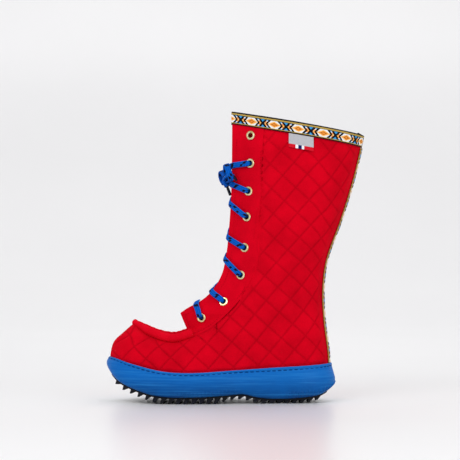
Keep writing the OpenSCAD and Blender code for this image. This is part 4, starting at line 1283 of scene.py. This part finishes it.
def below_rim(f, drop):
    """Side-view place at a height below the rim, f from the front edge to the back seam."""
    x = lerp(-4.0, float(back_x(312)), f)
    for _ in range(3):
        z = rim_z(x) - drop
        x = lerp(front_x(z), back_x(z), f)
    return x, rim_z(x) - drop


# The band's section from its lower edge over the rim: (drop below the rim, depth below the surface)
BAND_SECTION = [(13.6, -0.9), (13.4, -1.45), (12, -1.5), (9, -1.5), (6, -1.5), (3, -1.5), (1, -1.5),
                (-0.2, -1.3), (-0.9, -0.4), (-1.1, 1.5), (-1.1, 4), (-1.1, 6.2), (-0.6, 7.4), (0.6, 8.1),
                (3, 8.3), (6, 8.3)]
BAND_COLS = 260
BAND_THICK = 0.8


def band_grid(thickness):
    """Grid of the band from the outer side's front edge round the back to the inner side's."""
    section = spline(BAND_SECTION, np.linspace(0, 1, 46))
    away = unit(np.gradient(section, axis=0)) @ np.array([[0, -1], [1, 0]])
    drop, depth = (section + away * thickness).T[..., None]
    c = np.arange(-BAND_COLS, BAND_COLS + 1) / BAND_COLS
    f = np.broadcast_to(np.sin(np.pi / 2 * (1 - np.abs(c))), (len(section), len(c)))
    x, z = below_rim(f, drop + 0 * f)
    q = skin(OUTER, x, z, depth + 0 * f, np.broadcast_to(c == 0, f.shape))
    q[..., 1] = np.sign(c) * np.abs(q[..., 1])
    return q


top, under = band_grid(0), band_grid(BAND_THICK)
along = distances(top[8])[None, :] - FIRST_DIAMOND
up_band = distances(top[:, 0])[:, None] - BAND_HEIGHT / 2
uv = np.stack(np.broadcast_arrays(along, up_band), -1)
band = add_shell("woven_rim_band", top, under, woven_ribbon, "woven_ribbon", uv=uv)
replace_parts(band, "top_band")


def back_place(y, z):
    """Place on the back of the boot where the half-width is y."""
    low, high = np.full_like(z, 60.0), back_x(z)
    for _ in range(22):
        middle = (low + high) / 2
        wide = half_at(middle, z) > y
        low, high = np.where(wide, middle, low), np.where(wide, high, middle)
    return (low + high) / 2


SEAM_RIDGE = 1
SEAM_COLS = 14


def seam_ribbon_grid(depth):
    """Grid of the ribbon over the back seam, from the sole up to the rim band."""
    low_z = float(level(HEEL_X, 1)) + GAP
    high_z = float(rim_z(149)) - BAND_HEIGHT - GAP
    c = np.arange(-SEAM_COLS, SEAM_COLS + 1) / SEAM_COLS
    z = np.linspace(low_z, high_z, 240)[:, None] + 0 * c
    y = SEAM_RIBBON / 2 * np.abs(c)[None, :] + 0 * z
    middle = np.broadcast_to(c == 0, z.shape)
    x = np.where(middle, back_x(z), back_place(y, z))
    q = skin(OUTER, x, z, depth - SEAM_RIDGE * (1 - np.abs(c) ** 1.5), middle)
    q[..., 1] = np.sign(c) * np.abs(q[..., 1])
    return q


top, under = seam_ribbon_grid(-2 * GAP - RIBBON), seam_ribbon_grid(-2 * GAP)
far = distances(top[:, SEAM_COLS])[:, None]
uv = np.stack(np.broadcast_arrays(far, np.linspace(-5, 5, top.shape[1])), -1)
ribbon = add_shell("woven_seam_ribbon", top, under, woven_ribbon, "woven_ribbon", uv=uv)
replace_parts(ribbon, "back_seam_ribbon")

LABEL_X = 76
LABEL_TOP = 13.9
LABEL_DROP = BAND_HEIGHT + 1.4


def label_grid(depth):
    """Points of the side label at a depth, with the places across and down it."""
    t, c = grid_places(40, 61)
    x = LABEL_X + LABEL_WIDTH * (c - 0.5)
    drop = lerp(LABEL_TOP, LABEL_DROP + LABEL_HEIGHT, t)
    lifted = 0.9 * t**2 + 0.35 * t * np.sin(c * 5.2 + 0.7) ** 2
    return skin(OUTER, x, rim_z(x) - drop, depth - lifted - 0.2), c, t


top, c, t = label_grid(-1.45)
label = add_shell("side_label_tab", top, label_grid(-0.75)[0], label_cloth, "label_cloth", body=None,
                  uv=np.stack([c, t], -1))
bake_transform(label)
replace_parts(label, "side_label")

# ------------------------------------------------------------------ sole

SOLE_AROUND = 720
CUP_INSIDE = 0.7
CUP_OUTSIDE = CUP_INSIDE + CUP_WALL
RIB_DEPTH, RIB_PITCH = 1.3, 4.6
STITCH_LEVEL = 0.9


def outline(a):
    """The foot's outline seen from above, going round from the toe."""
    x = lerp(TOE_X, HEEL_X, (1 - np.cos(a)) / 2)
    return np.stack([x, np.where(np.mod(a, 2 * np.pi) < np.pi, -1, 1) * plan_half(x)], -1)


def sole_ring(out, f, flare=0.0, count=SOLE_AROUND):
    """Outlines round the sole, moved outwards, at levels from its lower edge to its upper edge."""
    a = angles(count)
    p = outline(a)
    step = math.radians(1)
    t = unit(outline(a + step) - outline(a - step + 2 * np.pi * (a == 0)))
    spread = 0.35 * smooth((p[:, 0] + 148) / 60) + 0.65 * smooth((p[:, 0] - 55) / 50)
    out, f, flare = (np.asarray(v, float)[..., None] if np.ndim(v) == 1 else np.asarray(v, float)
                     for v in (out, f, flare))
    move = out + flare * spread
    x = p[:, 0] + t[:, 1] * move
    y = p[:, 1] - t[:, 0] * move
    return np.stack(np.broadcast_arrays(x, y + turn(x), level(x, f)), -1)


# How far the wall draws in towards its upper edge at the toe: (share of its height, distance)
TOE_ROUND = [(0, 0), (0.6, 0), (0.8, -0.9), (0.92, -2), (1, -3)]
# The cup's outer wall, from its lower edge up: (share of its height, distance out) and (share, flare)
cup_out = [(0, -2.4), (0.035, -1.2), (0.1, -0.5), (0.3, 0.05), (0.55, 0), (0.8, -0.1), (0.93, 0.15),
           (0.97, 0), (1, -0.7)]
cup_flare = [(0, 1.6), (0.1, 3.4), (0.3, 4.4), (0.55, 3), (0.85, 0.8), (1, 0)]
f = np.linspace(0, 1, 76)
ring = sole_ring(CUP_OUTSIDE + 0 * f, f, 0 * f)
x_round = ring[0, :, 0]
far = distances(ring[30])
rib_window = smooth((x_round + 76) / 14) * smooth((12 - x_round) / 14) + smooth((x_round - 50) / 14)
ribs = RIB_DEPTH * np.maximum(0, np.cos(2 * np.pi * far / RIB_PITCH)) * rib_window
rib_band = np.exp(-((f - 0.12) / 0.09) ** 4)
groove = -0.45 * np.exp(-((f - STITCH_LEVEL) / 0.03) ** 2)
lip = 0.3 * np.exp(-((f - 0.965) / 0.03) ** 2)
wobble = 0.18 * np.sin(far / 9.0)[None, :] * np.sin(f * 5)[:, None] + 0.15 * np.sin(far / 23 + 2)[None, :]
at_toe = smooth((-112 - x_round) / 28)
out = CUP_OUTSIDE + (through(cup_out, f) + groove + lip)[:, None] + rib_band[:, None] * ribs + wobble
out += through(TOE_ROUND, f)[:, None] * at_toe
wall = sole_ring(out, f[:, None] + 0 * out, through(cup_flare, f)[:, None] + 0 * out)
inner = [sole_ring(np.minimum(CUP_OUTSIDE - 1.5, out[-1] - 0.2)[None, :], 1.0)[0], sole_ring(0.9, 0.99),
         sole_ring(CUP_INSIDE, 0.9), sole_ring(CUP_INSIDE, SOLE_FLOOR)]
rings = np.concatenate([wall, np.stack(inner)])


def strip_cap(start, count):
    """Closes a ring with strips from side to side."""
    faces = []
    for i in range(count // 2):
        quad = [start + i, start + i + 1, start + (count - i - 1) % count, start + (count - i) % count]
        faces.append(list(dict.fromkeys(quad)))
    return [face for face in faces if len(face) > 2]


def add_stack(name, rings, material, slot, body="boot"):
    """A stack of rings closed at both ends."""
    count = rings.shape[1]
    faces = grid_faces(len(rings), count, wrap=True)
    faces += strip_cap(0, count) + strip_cap((len(rings) - 1) * count, count)
    return add_piece(name, rings.reshape(-1, 3), faces, material, slot, body=body)


cup = add_stack("rubber_cup_sole", rings, sole_rubber, "sole_rubber")
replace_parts(cup, "cup_sole")

stitch_out = CUP_OUTSIDE + through(cup_out, STITCH_LEVEL) - 0.35 + through(TOE_ROUND, STITCH_LEVEL) * at_toe
line = sole_ring(stitch_out[None, :], STITCH_LEVEL, through(cup_flare, STITCH_LEVEL))[0]
line = np.concatenate([line, line[:1]])
ups = unit(np.cross(np.gradient(line, axis=0), [0, 0, 1]))
ups *= np.sign((ups * (line - line.mean(0))).sum(-1, keepdims=True))
row = stitch_row(line, ups, CUP_PITCH, share=0.7, radius=0.5)
add_stitches("cup_stitching", [row], blue_thread, "sole_rubber")

INSOLE_INSIDE = LINING_BASE + STIFFENER + 3
shares = np.linspace(0, 1, 9)
pull = np.interp(shares, *np.transpose([(0, 0.35), (0.12, 0.05), (0.5, 0), (0.85, 0.12), (1, 0.9)]))
rings = sole_ring(-INSOLE_INSIDE - pull, lerp(INSOLE_LOW, INSOLE_HIGH, shares), 0 * shares, 240)
dished = np.linspace(1, 0.02, 26)[1:, None, None]
top_ring = rings[-1]
middle = np.stack([top_ring[:, 0], turn(top_ring[:, 0]), top_ring[:, 2]], -1)
inward = lerp(middle[None], top_ring[None], dished)
inward[..., 2] -= 0.5 * (1 - dished[..., 0] ** 4)
inward[..., 2] += 0.12 * rng.standard_normal(inward.shape[:2])
rings = np.concatenate([rings, inward])
insole = add_stack("felt_insole", rings, insole_pile, "insole_felt", body="insole")
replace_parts(insole, "insole")

# ------------------------------------------------------------------ CAD pieces that keep their shape

finishes = {
    brass: ("outer_eyelets", "inner_eyelets", "outer_washers", "inner_washers"),
    tread_rubber: ("studded_tread",),
    foam: ("midsole",),
    board: ("lasting_board", "heel_counter", "toe_puff"),
}
for finish, names in finishes.items():
    for name in names:
        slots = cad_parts[name].data.materials
        slots.clear()
        slots.append(finish)

# ------------------------------------------------------------------ floor and backdrop

# Metres, unlike the rest: (y, z) of the paper from in front of the boot up the wall behind it
sweep = [(-2.5, 0), (-1, 0), (0.6, 0), (1.6, 0), (2.2, 0.08), (2.7, 0.35), (3.0, 0.8), (3.1, 1.6), (3.1, 3.4)]
profile = spline(sweep, np.linspace(0, 1, 60))
across = np.linspace(-4, 4, 9)
points = np.stack(np.broadcast_arrays(across, profile[:, :1], np.maximum(profile[:, 1:], 0)), -1)
paper = Nodes("pale_paper", 0.32)
tint = paper.mix(paper.noise(3, 2), linear(238, 237, 237), linear(234, 233, 233))
mesh = bpy.data.meshes.new("paper_sweep")
mesh.from_pydata(points.reshape(-1, 3).tolist(), [], grid_faces(*points.shape[:2]))
mesh.shade_smooth()
mesh.materials.append(paper.finish(tint, paper.bump(paper.noise(400, 2), 0.00005, 0.3)))
floor = bpy.data.objects.new("paper_sweep", mesh)
bpy.context.scene.collection.objects.link(floor)
